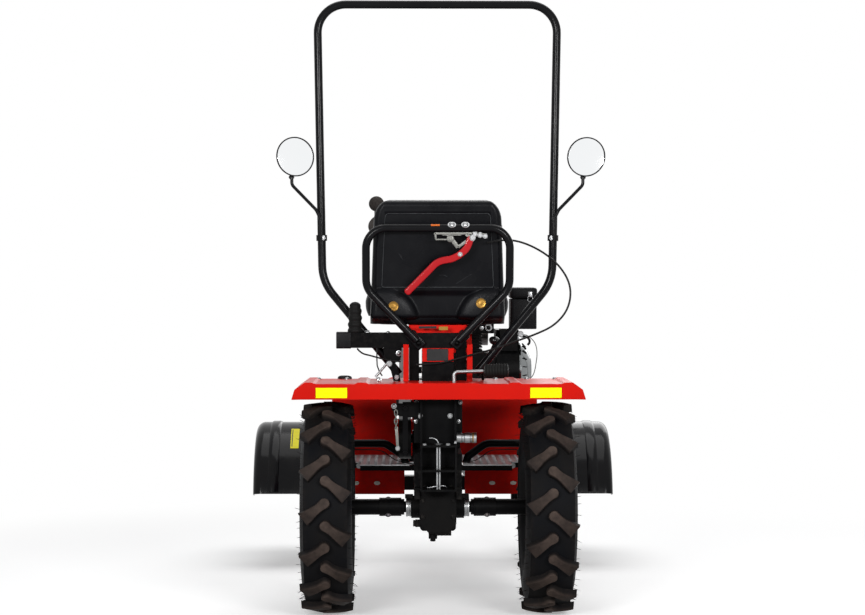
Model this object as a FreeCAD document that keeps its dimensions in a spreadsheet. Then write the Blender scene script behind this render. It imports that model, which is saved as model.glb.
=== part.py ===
"""Mini tractor: a small ride-on tractor on a walk-behind type gearbox.

Millimetres. X points to the tractor's right, Y to its front, Z up.
The origin lies on the ground below the middle of the machine's box.
"""
import FreeCAD, Part
import math
import os
import re

import Sketcher
from FreeCAD import Placement, Rotation, Vector
from types import SimpleNamespace

doc = FreeCAD.newDocument("mini_tractor")
sheet = doc.addObject("Spreadsheet::Sheet", "Sizes")

# Driving sizes, each a plain number in its own cell.
driving = {
    # wheels and axles
    "wheelbase": 1200,
    "front_reach": 300,            # front axle to the nose of the front guard
    "rear_tyre_radius": 320,       # to the tips of the lugs
    "rear_tyre_width": 154,
    "rear_track": 664,
    "rear_rim_radius": 152.4,
    "rear_rim_width": 98,
    "front_tyre_radius": 205,
    "front_tyre_width": 112,
    "front_track": 790,
    "front_rim_radius": 101.6,
    "front_rim_width": 70,
    "rear_facets": 24,             # flats round the carcass
    "rear_lugs": 15,               # on each side of the tread
    "rear_lug_deep": 21,
    "rear_lug_half": 14,           # half width of the lug's round head
    "rear_lug_turn_left": 9.95,    # first lug's head above the rear of the wheel, in degrees
    "rear_lug_turn_right": 15.1,
    "front_facets": 18,
    "front_lugs": 12,
    "front_lug_deep": 15,
    "front_lug_half": 9,
    "front_lug_turn": 29.55,
    "lug_rake": 38,                # of the bar across the tread, in degrees
    "lug_fall": 0.17,              # of the tread face for each millimetre from the middle
    "lug_slope": 16,               # run of the bar's sloping end
    "rim_wall": 4,
    "rim_lip": 12,
    # clearances
    "seat_gap": 0.3,
    "running_gap": 5,
    # rails and welded frame
    "rail_bottom": 440,
    "rail_high": 50,
    "rail_wide": 40,
    "rail_inner": 32,
    "sheet_wall": 3,
    "cross_high": 16,
    "cross_deep": 30,
    # gearbox
    "case_wide": 110,
    "case_low": 253,
    "case_top": 380,
    "case_back": -95,
    "case_front": 100,
    "neck_wide": 142,
    "neck_top": 440,
    "neck_front": 130,
    "boss_radius": 34,
    "boss_reach": 80,
    "seal_radius": 27.5,
    "seal_reach": 96,
    "shaft_radius": 17,
    "sleeve_radius": 24,
    "sleeve_step_radius": 28,
    "sleeve_step_from": 110,
    "sleeve_step_to": 177,
    # hitch
    "hitch_wide": 108,
    "hitch_back": -190,
    "hitch_plate": 6,
    "hitch_box_top": 523,
    "hitch_box_low": 386,
    "hitch_shelf": 444,
    "hitch_pin_radius": 8,
    "hitch_back_wide": 144,
    "socket_z": 541,
    # deck
    "deck_wide": 866,
    "deck_back": -215,
    "deck_front": 185,
    "deck_top": 700,
    "deck_lip": 42,
    "deck_chamfer": 24,
    "rib_high": 4,
    "rib_wide": 41,
    "rib_outer": 71,               # from the deck's side to the rib's inner edge
    "rib_inner": 227,
    "reflector_wide": 92,
    "reflector_high": 30,
    "reflector_x": 315,
    # seat and its stand
    "stand_half": 104,
    "seat_rest_half": 88,
    "stand_back": -60,
    "stand_front": 150,
    "post_side": 30,
    "post_x": 71,
    "beam_low": 804,
    "beam_high": 46,
    "beam_deep": 40,
    "beam_left": 303,
    "beam_right": 88,
    "seat_base": 873,
    "seat_half": 201,
    "seat_top": 1249,
    "seat_deep": 370,
    "seat_shell_wall": 9,
    "seat_lean": 40,
    "cushion_half": 228,
    "cushion_high": 64,
    "bolster_high": 108,
    "back_pad_thick": 60,
    # guard and hoop
    "guard_tube": 12,
    "guard_half": 216,
    "guard_top": 1166,
    "guard_knee": 985,
    "guard_foot": 64,
    "guard_bend": 62,
    "brake_pivot_x": 103,
    "hoop_tube": 12.5,
    "hoop_half": 365,
    "hoop_waist": 350,
    "hoop_top": 1846,
    "hoop_knee": 1004,
    "hoop_foot": 116.8,
    "hoop_foot_z": 722,
    "hoop_bend": 85,
    "hoop_knee_bend": 140,
    # mirrors
    "mirror_radius": 60,
    "mirror_x": 442,
    "mirror_z": 1383,
    "stalk_radius": 5,
    "stalk_foot": 1128,
    # hand levers
    "gear_x": 141,
    "drive_x": 46,
    # foot wells
    "board_top": 424,
    "board_back": 253,
    "board_front": 600,
    "board_inner": 85,
    "board_outer": 340,
    "board_step": 240,             # half width between the rear wheels
    "board_step_back": 345,
    "shield_low": 293,
    "shield_top": 640,
    "shield_notch": 100,
    "slot_pitch": 70,
    "slot_x": 226,
    "slot_z": 330,
    "well_tube": 12.5,
    "well_top": 485,
    # front arches
    "arch_radius": 283,
    "arch_outer": 627,
    "arch_inner": 310,
    "arch_wall": 3.5,
    "arch_skirt": 30,
    "arch_round": 30,
    # nose guard and lamps
    "nose_tube": 13,
    "nose_half": 190,
    "nose_high": 157,
    "lamp_bar": 9,
    "lamp_rise": 80,
    "lamp_radius": 55,
    "lamp_x": 120,
    # steering
    "kingpin_x": 305,
    "kingpin_radius": 10,
    "kingpin_boss": 20,
    "beam_axle": 50,
    "axle_low": 245,
    "arm_reach": 110,
    "arm_z": 318,
    "arm_thick": 10,
    "joint_pin": 6,
    "joint_eye": 14,
    "link_radius": 6.5,
    "spindle_radius": 12.5,
    "column_tilt": 17,
    "column_radius": 21,
    "steer_wheel_radius": 218,
    "steer_wheel_tube": 14,
    "knob_turn": 160,
    "steer_wheel_y": 480,
    "steer_wheel_z": 1180,
    # engine
    "engine_y": 905,
    "engine_z": 690,
    "engine_base": 585,
    "engine_left": -10,
    "engine_right": 216,
    "fan_right": 293,
    "fan_radius": 112,
    "recoil_radius": 98,
    "recoil_skirt": 8,
    "recoil_right": 341,
    "belt_inner": 80,
    "belt_outer": 118,
    "cable_radius": 3,
}

# Sizes that follow from the driving ones.
derived = {
    "rear_y": "0 - (wheelbase + front_reach - rear_tyre_radius) / 2",
    "front_y": "rear_y + wheelbase",
    "rear_wheel_x": "rear_track / 2",
    "front_wheel_x": "front_track / 2",
    "rail_top": "rail_bottom + rail_high",
    "rail_outer": "rail_inner + rail_wide",
    "rail_back": "rear_y + case_back",
    "deck_under": "deck_top - sheet_wall",
    "deck_low": "deck_top - deck_lip",
    "beam_top": "beam_low + beam_high",
    "beam_back": "rear_y - beam_deep / 2",
    "beam_front": "rear_y + beam_deep / 2",
    "arm_top": "arm_z + arm_thick / 2",
    "eye_half": "8",
    "box_top": "rail_top + 8",
    "pitman_y": "steer_wheel_y + (steer_wheel_z - box_top) * tan(column_tilt * 1 deg)",
    "tie_z": "arm_top + 3 + eye_half",
    "drag_z": "tie_z + 3 * eye_half",
}

for row, (name, number) in enumerate(driving.items(), start=1):
    sheet.set(f"A{row}", name)
    sheet.set(f"B{row}", str(number))
    sheet.setAlias(f"B{row}", name)
doc.recompute()


def bound(text):
    """The expression with every size named by its cell in the sheet."""
    def cell(match):
        name = match.group(0)
        if name in driving:
            return "Sizes." + name
        if name in derived:
            return "(" + bound(derived[name]) + ")"
        return name
    return re.sub(r"[A-Za-z_][A-Za-z_0-9]*", cell, str(text))


def measure(text):
    """The number that an expression of sizes comes to."""
    return float(sheet.evalExpression(bound(text)))


size = SimpleNamespace(**{name: measure(name) for name in list(driving) + list(derived)})
parts = []
cut_checks = []


def mirrored(side, start, end):
    """The span from start to end on the right, or its mirror image on the left."""
    if side > 0:
        return start, end
    return f"0 - ({end})", f"0 - ({start})"


def place(item, at, turn=None):
    """Bind an object's place to three expressions, after its fixed turn."""
    item.Placement = Placement(Vector(0, 0, 0), turn or Rotation())
    for axis, text in zip("xyz", at):
        item.setExpression(f".Placement.Base.{axis}", bound(text))


class Sketched:
    """A PartDesign body made from sketches whose points are bound to the sheet."""

    planes = {"XY": "XY_Plane", "XZ": "XZ_Plane", "YZ": "YZ_Plane"}

    def __init__(self, label, at=("0", "0", "0"), turn=None):
        self.body = doc.addObject("PartDesign::Body", label)
        self.body.Label = label
        self.count = 0
        parts.append(self.body)
        place(self.body, at, turn)

    def sketch(self, plane, loops, level="0"):
        """A sketch of closed loops: lists of points, or circles as (u, v, radius)."""
        self.count += 1
        sketch = self.body.newObject("Sketcher::SketchObject", f"{self.body.Name}_sketch{self.count}")
        role = self.planes[plane]
        origin = next(item for item in self.body.Origin.OriginFeatures if item.Role == role)
        sketch.AttachmentSupport = [(origin, "")]
        sketch.MapMode = "FlatFace"
        sketch.setExpression(".AttachmentOffset.Base.z", bound(level))
        for loop in loops:
            if isinstance(loop, tuple):
                self.circle(sketch, *loop)
            else:
                self.polygon(sketch, loop)
        return sketch

    def pin(self, sketch, index, point, u, v):
        """Hold one point of the sketch at its two bound distances from the origin."""
        for kind, text in (("DistanceX", u), ("DistanceY", v)):
            held = Sketcher.Constraint(kind, -1, 1, index, point, measure(text))
            sketch.setExpression(f"Constraints[{sketch.addConstraint(held)}]", bound(text))

    def circle(self, sketch, u, v, radius):
        centre = Vector(measure(u), measure(v), 0)
        index = sketch.addGeometry(Part.Circle(centre, Vector(0, 0, 1), measure(radius)), False)
        self.pin(sketch, index, 3, u, v)
        held = Sketcher.Constraint("Radius", index, measure(radius))
        sketch.setExpression(f"Constraints[{sketch.addConstraint(held)}]", bound(radius))

    def polygon(self, sketch, points):
        """Lines between the points; a third value on a point is the radius of its round corner."""
        corners = [Vector(measure(point[0]), measure(point[1]), 0) for point in points]
        count = len(corners)
        starts = list(corners)
        ends = corners[1:] + corners[:1]
        arcs = {}
        for index, point in enumerate(points):
            if len(point) == 3:
                radius = measure(point[2])
                back = (corners[index - 1] - corners[index]).normalize()
                ahead = (corners[(index + 1) % count] - corners[index]).normalize()
                half = back.getAngle(ahead) / 2
                first = corners[index] + back * (radius / math.tan(half))
                last = corners[index] + ahead * (radius / math.tan(half))
                centre = corners[index] + (back + ahead).normalize() * (radius / math.sin(half))
                ends[index - 1] = first
                starts[index] = last
                arcs[index] = (centre, first, last, back.cross(ahead).z < 0)
        lines = [sketch.addGeometry(Part.LineSegment(a, b), False) for a, b in zip(starts, ends)]
        for index, point in enumerate(points):
            before = lines[index - 1]
            line = lines[index]
            if index not in arcs:
                sketch.addConstraint(Sketcher.Constraint("Coincident", before, 2, line, 1))
                self.pin(sketch, line, 1, point[0], point[1])
                continue
            centre, first, last, left_turn = arcs[index]
            low, high = (first, last) if left_turn else (last, first)
            angles = [math.atan2(at.y - centre.y, at.x - centre.x) for at in (low, high)]
            circle = Part.Circle(centre, Vector(0, 0, 1), (first - centre).Length)
            arc = sketch.addGeometry(Part.ArcOfCircle(circle, *angles), False)
            corner = sketch.addGeometry(Part.Point(corners[index]), True)
            tips = (1, 2) if left_turn else (2, 1)
            sketch.addConstraint(Sketcher.Constraint("Tangent", before, 2, arc, tips[0]))
            sketch.addConstraint(Sketcher.Constraint("Tangent", arc, tips[1], line, 1))
            held = Sketcher.Constraint("Radius", arc, measure(point[2]))
            sketch.setExpression(f"Constraints[{sketch.addConstraint(held)}]", bound(point[2]))
            self.pin(sketch, corner, 1, point[0], point[1])
            sketch.addConstraint(Sketcher.Constraint("PointOnObject", corner, 1, before))
            sketch.addConstraint(Sketcher.Constraint("PointOnObject", corner, 1, line))

    def extrude(self, kind, plane, loops, start, end):
        """A Pad or Pocket between two levels along the plane's axis."""
        level = f"0 - ({end})" if plane == "XZ" else start
        sketch = self.sketch(plane, loops, level)
        feature = self.body.newObject(f"PartDesign::{kind}", f"{self.body.Name}_{kind.lower()}{self.count}")
        feature.Profile = sketch
        feature.setExpression("Length", bound(f"({end}) - ({start})"))
        sketch.Visibility = False
        return feature

    def pad(self, plane, loops, start, end):
        feature = self.extrude("Pad", plane, loops, start, end)
        doc.recompute()
        return feature

    def cut(self, plane, loops, start, end):
        before = self.body.Shape.Volume
        feature = self.extrude("Pocket", plane, loops, start, end)
        feature.Reversed = True
        doc.recompute()
        cut_checks.append((feature.Name, before, self.body.Shape.Volume))
        return feature

    def turn(self, points, angle="360", plane="XZ"):
        """A Revolution of one outline about the X axis, u along it and v its radius."""
        sketch = self.sketch(plane, [points])
        feature = self.body.newObject("PartDesign::Revolution", f"{self.body.Name}_turn{self.count}")
        feature.Profile = sketch
        feature.ReferenceAxis = (sketch, ["H_Axis"])
        feature.Midplane = True
        feature.setExpression("Angle", bound(angle))
        doc.recompute()
        return feature


def rectangle(left, right, low, high):
    return [(left, low), (right, low), (right, high), (left, high)]


def block(label, x, y, z):
    """A Part box bound between two expressions on each axis."""
    item = doc.addObject("Part::Box", label)
    item.Label = label
    for name, (start, end) in zip(("Length", "Width", "Height"), (x, y, z)):
        item.setExpression(name, bound(f"({end}) - ({start})"))
    place(item, (x[0], y[0], z[0]))
    return item


def rod(label, radius, length, at, axis="Z"):
    """A Part cylinder that starts at a point and runs along one axis."""
    item = doc.addObject("Part::Cylinder", label)
    item.Label = label
    item.setExpression("Radius", bound(radius))
    item.setExpression("Height", bound(length))
    turns = {"Z": Rotation(), "X": Rotation(Vector(0, 1, 0), 90), "Y": Rotation(Vector(1, 0, 0), -90)}
    place(item, at, turns[axis])
    return item


def fuse(label, items):
    item = doc.addObject("Part::MultiFuse", label)
    item.Label = label
    item.Shapes = items
    item.Refine = True
    return item


def subtract(label, base, tool):
    item = doc.addObject("Part::Cut", label)
    item.Label = label
    item.Base = base
    item.Tool = tool
    return item


def keep(item):
    parts.append(item)
    return item


def feature(label, shape, placement=None):
    """A sub-part whose shape is worked out here from the sheet's sizes."""
    item = doc.addObject("Part::Feature", label)
    item.Label = label
    item.Shape = shape
    item.Placement = placement or Placement()
    return keep(item)


def tube_path(points, radii):
    """Straight runs joined by arcs that touch them, one radius for each inner point."""
    edges = []
    start = points[0]
    for before, corner, after, radius in zip(points, points[1:], points[2:], radii):
        back = (before - corner).normalize()
        ahead = (after - corner).normalize()
        half = back.getAngle(ahead) / 2
        reach = radius / math.tan(half)
        first = corner + back * reach
        last = corner + ahead * reach
        middle = (back + ahead).normalize()
        centre = corner + middle * (radius / math.sin(half))
        edges.append(Part.LineSegment(start, first).toShape())
        edges.append(Part.Arc(first, centre - middle * radius, last).toShape())
        start = last
    edges.append(Part.LineSegment(start, points[-1]).toShape())
    return Part.Wire(edges)


def tube(points, radii, radius):
    """A round bar swept along its path."""
    path = tube_path(points, radii)
    circle = Part.Circle(points[0], points[1] - points[0], radius)
    return path.makePipeShell([Part.Wire(circle.toShape())], True, False)


def joined(*shapes):
    whole = shapes[0]
    for shape in shapes[1:]:
        whole = whole.fuse(shape)
    return whole.removeSplitter()


def cylinder(radius, start, end):
    """A cylinder between two points."""
    axis = end - start
    return Part.makeCylinder(radius, axis.Length, start, axis)


def from_rear(x, y, z):
    """A point given from the rear axle's middle, at ground level."""
    return Vector(x, size.rear_y + y, z)


def pair(shape):
    """The shape and its mirror image on the other side of the tractor."""
    return Part.makeCompound([shape, shape.mirror(Vector(0, 0, 0), Vector(1, 0, 0))])


# ---------------------------------------------------------------- welded frame

def make_frame():
    """Two rails with the cross bars, the deck posts, the axle bracket and the engine stools."""
    front = "front_y + front_reach - 70"
    pieces = []
    for side, word in ((-1, "left"), (1, "right")):
        x = mirrored(side, "rail_inner", "rail_outer")
        pieces.append(block(f"rail_{word}", x, ("rail_back", front), ("rail_bottom", "rail_top")))
        pieces.append(block(f"deck_post_{word}", x, ("rear_y + 120", "rear_y + 160"),
                            ("rail_top - 1", "deck_under")))
        for place_name, start in (("rear", "board_back"), ("fore", "board_front - cross_deep")):
            y = (f"rear_y + {start}", f"rear_y + {start} + cross_deep")
            pieces.append(block(f"spacer_{place_name}_{word}", x, y,
                                ("board_top - sheet_wall - 1", "rail_bottom + 1")))
        pieces.append(block(f"stool_{word}", x, ("rear_y + engine_y - 115", "rear_y + engine_y + 115"),
                            ("rail_top - 1", "engine_base")))
    for place_name, start, reach in (("rear", "board_back", "board_step"),
                                     ("fore", "board_front - cross_deep", "board_outer")):
        y = (f"rear_y + {start}", f"rear_y + {start} + cross_deep")
        z = ("board_top - sheet_wall - cross_high", "board_top - sheet_wall")
        pieces.append(block(f"cross_{place_name}", (f"0 - {reach}", reach), y, z))
    pieces.append(block("rail_tie_rear", ("0 - rail_inner - 1", "rail_inner + 1"),
                        ("rear_y + 150", "rear_y + 190"), ("rail_bottom", "rail_top")))
    pieces.append(block("rail_tie_front", ("0 - rail_inner - 1", "rail_inner + 1"),
                        (f"{front} - 40", front), ("rail_bottom", "rail_top")))
    for place_name, start in (("rear", "front_y - beam_axle / 2 - 7"),
                              ("fore", "front_y + beam_axle / 2 + 1")):
        pieces.append(block(f"axle_cheek_{place_name}", ("0 - 50", "50"), (start, f"{start} + 6"),
                            ("axle_low - 5", "rail_bottom + 1")))
    pieces.append(block("axle_saddle", ("0 - 50", "50"),
                        ("front_y - beam_axle / 2 - 7", "front_y + beam_axle / 2 + 7"),
                        ("rail_bottom - 8", "rail_bottom + 1")))
    pieces.append(rod("arch_carrier", "12", "2 * (arch_outer - arch_round - 4)",
                      ("arch_round + 4 - arch_outer", "front_y",
                       "front_tyre_radius + arch_radius - arch_wall - 12 - seat_gap"), "X"))
    keep(fuse("chassis_frame", pieces))


# ---------------------------------------------------------------- gearbox and hitch

def make_gearbox():
    """Cast case with its neck, the two axle bosses, the steel seal rings and the sump plate."""
    gearbox = Sketched("gearbox", ("0", "rear_y", "0"))
    half = "case_wide / 2"
    gearbox.pad("XZ", [[(f"0 - {half} + 26", "case_low"), (f"{half} - 26", "case_low"),
                        (half, "case_low + 26"), (half, "case_top"),
                        (f"0 - {half}", "case_top"), (f"0 - {half}", "case_low + 26")]],
                "case_back", "case_front")
    gearbox.pad("XZ", [rectangle("0 - neck_wide / 2", "neck_wide / 2", "case_top - 14", "neck_top")],
                "case_back", "neck_front")
    gearbox.pad("YZ", [("0", "rear_tyre_radius", "boss_radius")], "0 - boss_reach", "boss_reach")
    gearbox.pad("YZ", [("0", "rear_tyre_radius", "seal_radius")], "0 - seal_reach", "seal_reach")
    gearbox.pad("XY", [rectangle("0 - 8", "40", "case_back + 8", "0")], "case_low - 10", "case_low + 1")
    gearbox.pad("XY", [("0 - 15", "case_back + 35", "13")], "case_low - 22", "case_low + 1")
    gearbox.pad("XY", [("0 - 15", "case_back + 35", "8")], "case_low - 30", "case_low - 21")
    for side in (-1, 1):
        gearbox.cut("YZ", [("0", "rear_tyre_radius", "shaft_radius + seat_gap")],
                    *mirrored(side, "case_wide / 2 - 5", "seal_reach + 1"))


def make_hitch():
    """Folded drawbar box behind the gearbox, open to the rear, with its pin and spring clip."""
    plate = "hitch_plate"
    back = ("rear_y + case_back - hitch_plate", "rear_y + case_back")
    depth = ("rear_y + hitch_back", "rear_y + case_back - hitch_plate")
    half = "hitch_wide / 2"
    hole = [rod(f"hitch_bore_{word}", "hitch_pin_radius + seat_gap", "hitch_plate + 2",
                ("0", "rear_y + hitch_back + 28", f"{level} - 1"))
            for word, level in (("low", "hitch_box_low"), ("shelf", "hitch_shelf"),
                                ("top", "hitch_box_top - 6"))]
    pieces = [
        block("hitch_back_low", (f"0 - {half}", half), back, ("hitch_box_low", "hitch_box_top + 1")),
        block("hitch_back_high", ("0 - hitch_back_wide / 2", "hitch_back_wide / 2"), back,
              ("hitch_box_top", "deck_under")),
        block("hitch_deck_flange", ("0 - hitch_back_wide / 2", "hitch_back_wide / 2"),
              (f"{depth[0]} + 20", f"{depth[1]} + 1"), ("deck_under - 5", "deck_under")),
    ]
    for side, word in ((-1, "left"), (1, "right")):
        pieces.append(block(f"hitch_cheek_{word}", mirrored(side, f"{half} - {plate}", half),
                            (depth[0], f"{depth[1]} + 1"), ("hitch_box_low", "hitch_box_top")))
        pieces.append(block(f"hitch_gusset_{word}", mirrored(side, f"{half} - {plate}", half),
                            (f"{depth[0]} + 50", f"{depth[1]} + 1"), ("hitch_box_top - 1", "deck_under - 4")))
    for word, level in (("low", "hitch_box_low"), ("shelf", "hitch_shelf"), ("top", "hitch_box_top - 6")):
        pieces.append(block(f"hitch_plate_{word}", (f"0 - {half} + 1", f"{half} - 1"),
                            (depth[0], f"{depth[1]} + 1"), (level, f"{level} + {plate}")))
    keep(subtract("hitch_bracket", fuse("hitch_welded", pieces), fuse("hitch_bores", hole)))

    centre = from_rear(0, size.hitch_back + 28, 0)
    low = size.hitch_box_low - 14
    top = size.hitch_box_top + 4
    pin = cylinder(size.hitch_pin_radius, centre + Vector(0, 0, low), centre + Vector(0, 0, top))
    head = cylinder(size.hitch_pin_radius + 5, centre + Vector(0, 0, size.hitch_box_top),
                    centre + Vector(0, 0, top + 6))
    clip = cylinder(2.2, centre + Vector(-32, 0, low + 6), centre + Vector(32, 0, low + 6))
    grip = tube([centre + Vector(0, 0, top), centre + Vector(0, 0, top + 16),
                 centre + Vector(-14, 0, top + 32),
                 centre + Vector(-36, 0, top + 36)], [8, 8], 2.4)
    feature("hitch_pin", joined(pin, head, clip, grip))

    x = size.hitch_wide / 2
    y = size.hitch_back + 60
    z = size.socket_z
    socket = cylinder(15, from_rear(x, y, z), from_rear(x + 60, y, z))
    bore = cylinder(11, from_rear(x + 6, y, z), from_rear(x + 61, y, z))
    feature("side_socket", socket.cut(bore))


def make_linkage():
    """Shift strap that hangs on the hitch plate's left side, with its bell crank and short rod."""
    x = -size.hitch_back_wide / 2
    y = size.case_back - size.hitch_plate
    arm = Part.makeBox(50, 5, 46, from_rear(x - 34, y - 5, 600))
    strap = Part.makeBox(16, 4, 150, from_rear(x - 34, y - 9, 486))
    knuckle = cylinder(7, from_rear(x - 26, y - 18, 626), from_rear(x - 26, y, 626))
    foot = cylinder(6, from_rear(x - 26, y - 18, 494), from_rear(x - 26, y - 4, 494))
    feature("shift_strap", joined(arm, strap, knuckle, foot))


# ---------------------------------------------------------------- deck

def make_deck():
    """Pressed steel deck over the rear wheels, with a lip all round and raised ribs."""
    deck = Sketched("rear_deck", ("0", "rear_y", "0"))
    half = "deck_wide / 2"

    def outline(inset, low):
        return [(f"0 - {half} + {inset}", low), (f"{half} - {inset}", low),
                (f"{half} - {inset}", "deck_top - deck_chamfer"),
                (f"{half} - deck_chamfer - {inset} / 2", f"deck_top - {inset}"),
                (f"deck_chamfer + {inset} / 2 - {half}", f"deck_top - {inset}"),
                (f"0 - {half} + {inset}", "deck_top - deck_chamfer")]

    deck.pad("XZ", [outline("0", "deck_low")], "deck_back", "deck_front")
    deck.cut("XZ", [outline("sheet_wall", "deck_low - 1")],
             "deck_back + sheet_wall", "deck_front - sheet_wall")
    ribs = [rectangle(*mirrored(side, f"{half} - {start}", f"{half} - {start} + rib_wide"),
                      "deck_back", "deck_front")
            for side in (-1, 1) for start in ("rib_outer", "rib_inner")]
    deck.pad("XY", ribs, "deck_top - 1", "deck_top + rib_high")

    plates = Sketched("deck_reflectors", ("0", "rear_y", "0"))
    low = "deck_low + 7"
    loops = [rectangle("reflector_x - reflector_wide / 2", "reflector_x + reflector_wide / 2",
                       low, f"{low} + reflector_high"),
             rectangle("0 - reflector_x - reflector_wide / 2", "reflector_wide / 2 - reflector_x",
                       low, f"{low} + reflector_high")]
    plates.pad("XZ", loops, "deck_back - 2", "deck_back")


# ---------------------------------------------------------------- seat, guard, hoop and mirrors

def make_stand():
    """Folded red stand with black posts and the cross beam that carries the guard."""
    stand = Sketched("seat_stand", ("0", "rear_y", "0"))
    stand.pad("XY", [rectangle("0 - 47", "47", "stand_back", "stand_front")], "deck_top", "beam_low")
    for side in (-1, 1):
        x = mirrored(side, "stand_half - 16", "stand_half")
        stand.pad("XY", [rectangle(*x, "stand_back", "stand_back + 24")], "deck_top + 2", "beam_low + 12")
        stand.pad("XY", [rectangle(*x, "stand_back + 24", "stand_front")], "deck_top + 2", "beam_low - 40")
    stand.pad("XY", [rectangle("0 - stand_half", "stand_half", "stand_back", "stand_front")],
              "deck_top", "deck_top + 4")
    stand.pad("XY", [rectangle("0 - seat_rest_half", "seat_rest_half",
                               "0 - beam_deep / 2", "stand_front + 60")],
              "beam_top", "seat_base")
    stand.pad("XY", [rectangle("0 - 47", "47", "beam_deep / 2 + seat_gap", "stand_front")],
              "beam_low - 1", "beam_top + 1")


def make_beam():
    """Square posts under a box-section beam whose left end carries the lever boot."""
    posts = []
    for side, word in ((-1, "left"), (1, "right")):
        x = mirrored(side, "post_x - post_side / 2", "post_x + post_side / 2")
        posts.append(block(f"post_{word}", x, ("rear_y - post_side / 2", "rear_y + post_side / 2"),
                           ("deck_top + 4", "beam_low + 1")))
    posts.append(block("beam", ("0 - beam_left", "beam_right"), ("beam_back", "beam_front"),
                       ("beam_low", "beam_top")))
    keep(fuse("seat_beam", posts))

    boot = Sketched("lever_boot", ("53 - beam_left", "rear_y - 3.5", "beam_top"),
                    Rotation(Vector(0, 1, 0), -90))
    outline = [("0", "0"), ("0", "23")]
    for ring in range(4):
        level = 6 + 18 * ring
        wide = 23 - ring
        outline += [(f"{level}", f"{wide}"), (f"{level + 9}", f"{wide}"), (f"{level + 12}", f"{wide - 6}"),
                    (f"{level + 16}", f"{wide - 6}")]
    outline += [("80", "17"), ("90", "10"), ("94", "0")]
    boot.turn(outline)


def make_seat():
    """Moulded shell with a leaning back, and the two soft pads in it."""
    shell = Sketched("seat_shell", ("0", "rear_y", "0"))
    back = "0 - 6"
    wall = "seat_shell_wall"
    side = [(back, "seat_base"), ("seat_deep", "seat_base"), ("seat_deep", f"seat_base + {wall}"),
            (f"{back} + {wall}", f"seat_base + {wall}"), (f"{back} + {wall} - seat_lean", "seat_top"),
            (f"{back} - seat_lean", "seat_top")]
    shell.pad("YZ", [side], "0 - seat_half", "seat_half")
    cushion = Sketched("seat_cushion", ("0", "rear_y", "0"))
    low = "seat_base + seat_shell_wall + seat_gap"
    inner = "(cushion_half - 60)"
    profile = [("0 - cushion_half", low), ("cushion_half", low), ("cushion_half", f"{low} + bolster_high"),
               (f"{inner} + 18", f"{low} + bolster_high"), (inner, f"{low} + cushion_high"),
               (f"0 - {inner}", f"{low} + cushion_high"), (f"0 - {inner} - 18", f"{low} + bolster_high"),
               ("0 - cushion_half", f"{low} + bolster_high")]
    cushion.pad("XZ", [profile], "75", "seat_deep + 20")
    pad = Sketched("seat_back_pad", ("0", "rear_y", "0"))
    foot = f"{low} + cushion_high + 6"
    lean = f"seat_lean * ({foot} - seat_base - {wall}) / (seat_top - seat_base - {wall})"
    face = f"{back} + {wall} + seat_gap"
    pad.pad("YZ", [[(f"{face} - {lean}", foot), (f"{face} - {lean} + back_pad_thick", foot),
                    (f"{face} - seat_lean + back_pad_thick", "seat_top - 8"),
                    (f"{face} - seat_lean + 1", "seat_top - 8")]],
            "12 - seat_half", "seat_half - 12")


# Route of the free brake cable, in points from the rear axle's middle at ground level.
brake_route = [
    (147, -70.3, 1122), (188, -56, 1131), (245, -50, 1128), (312, -54, 1098), (368, -61, 1052),
    (401, -67, 992), (394, -70, 925), (352, -71, 874), (292, -71.5, 846), (222, -71, 822),
    (158, -71, 799), (98, -71, 785), (40, -70.5, 768), (-10, -70.4, 757), (-66, -70.4, 756)]
lever_route = [
    (-243, -8, 801), (-232, -24, 788), (-205, -34, 782), (-172, -36, 773), (-142, -34, 766),
    (-112, -28, 763)]


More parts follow.
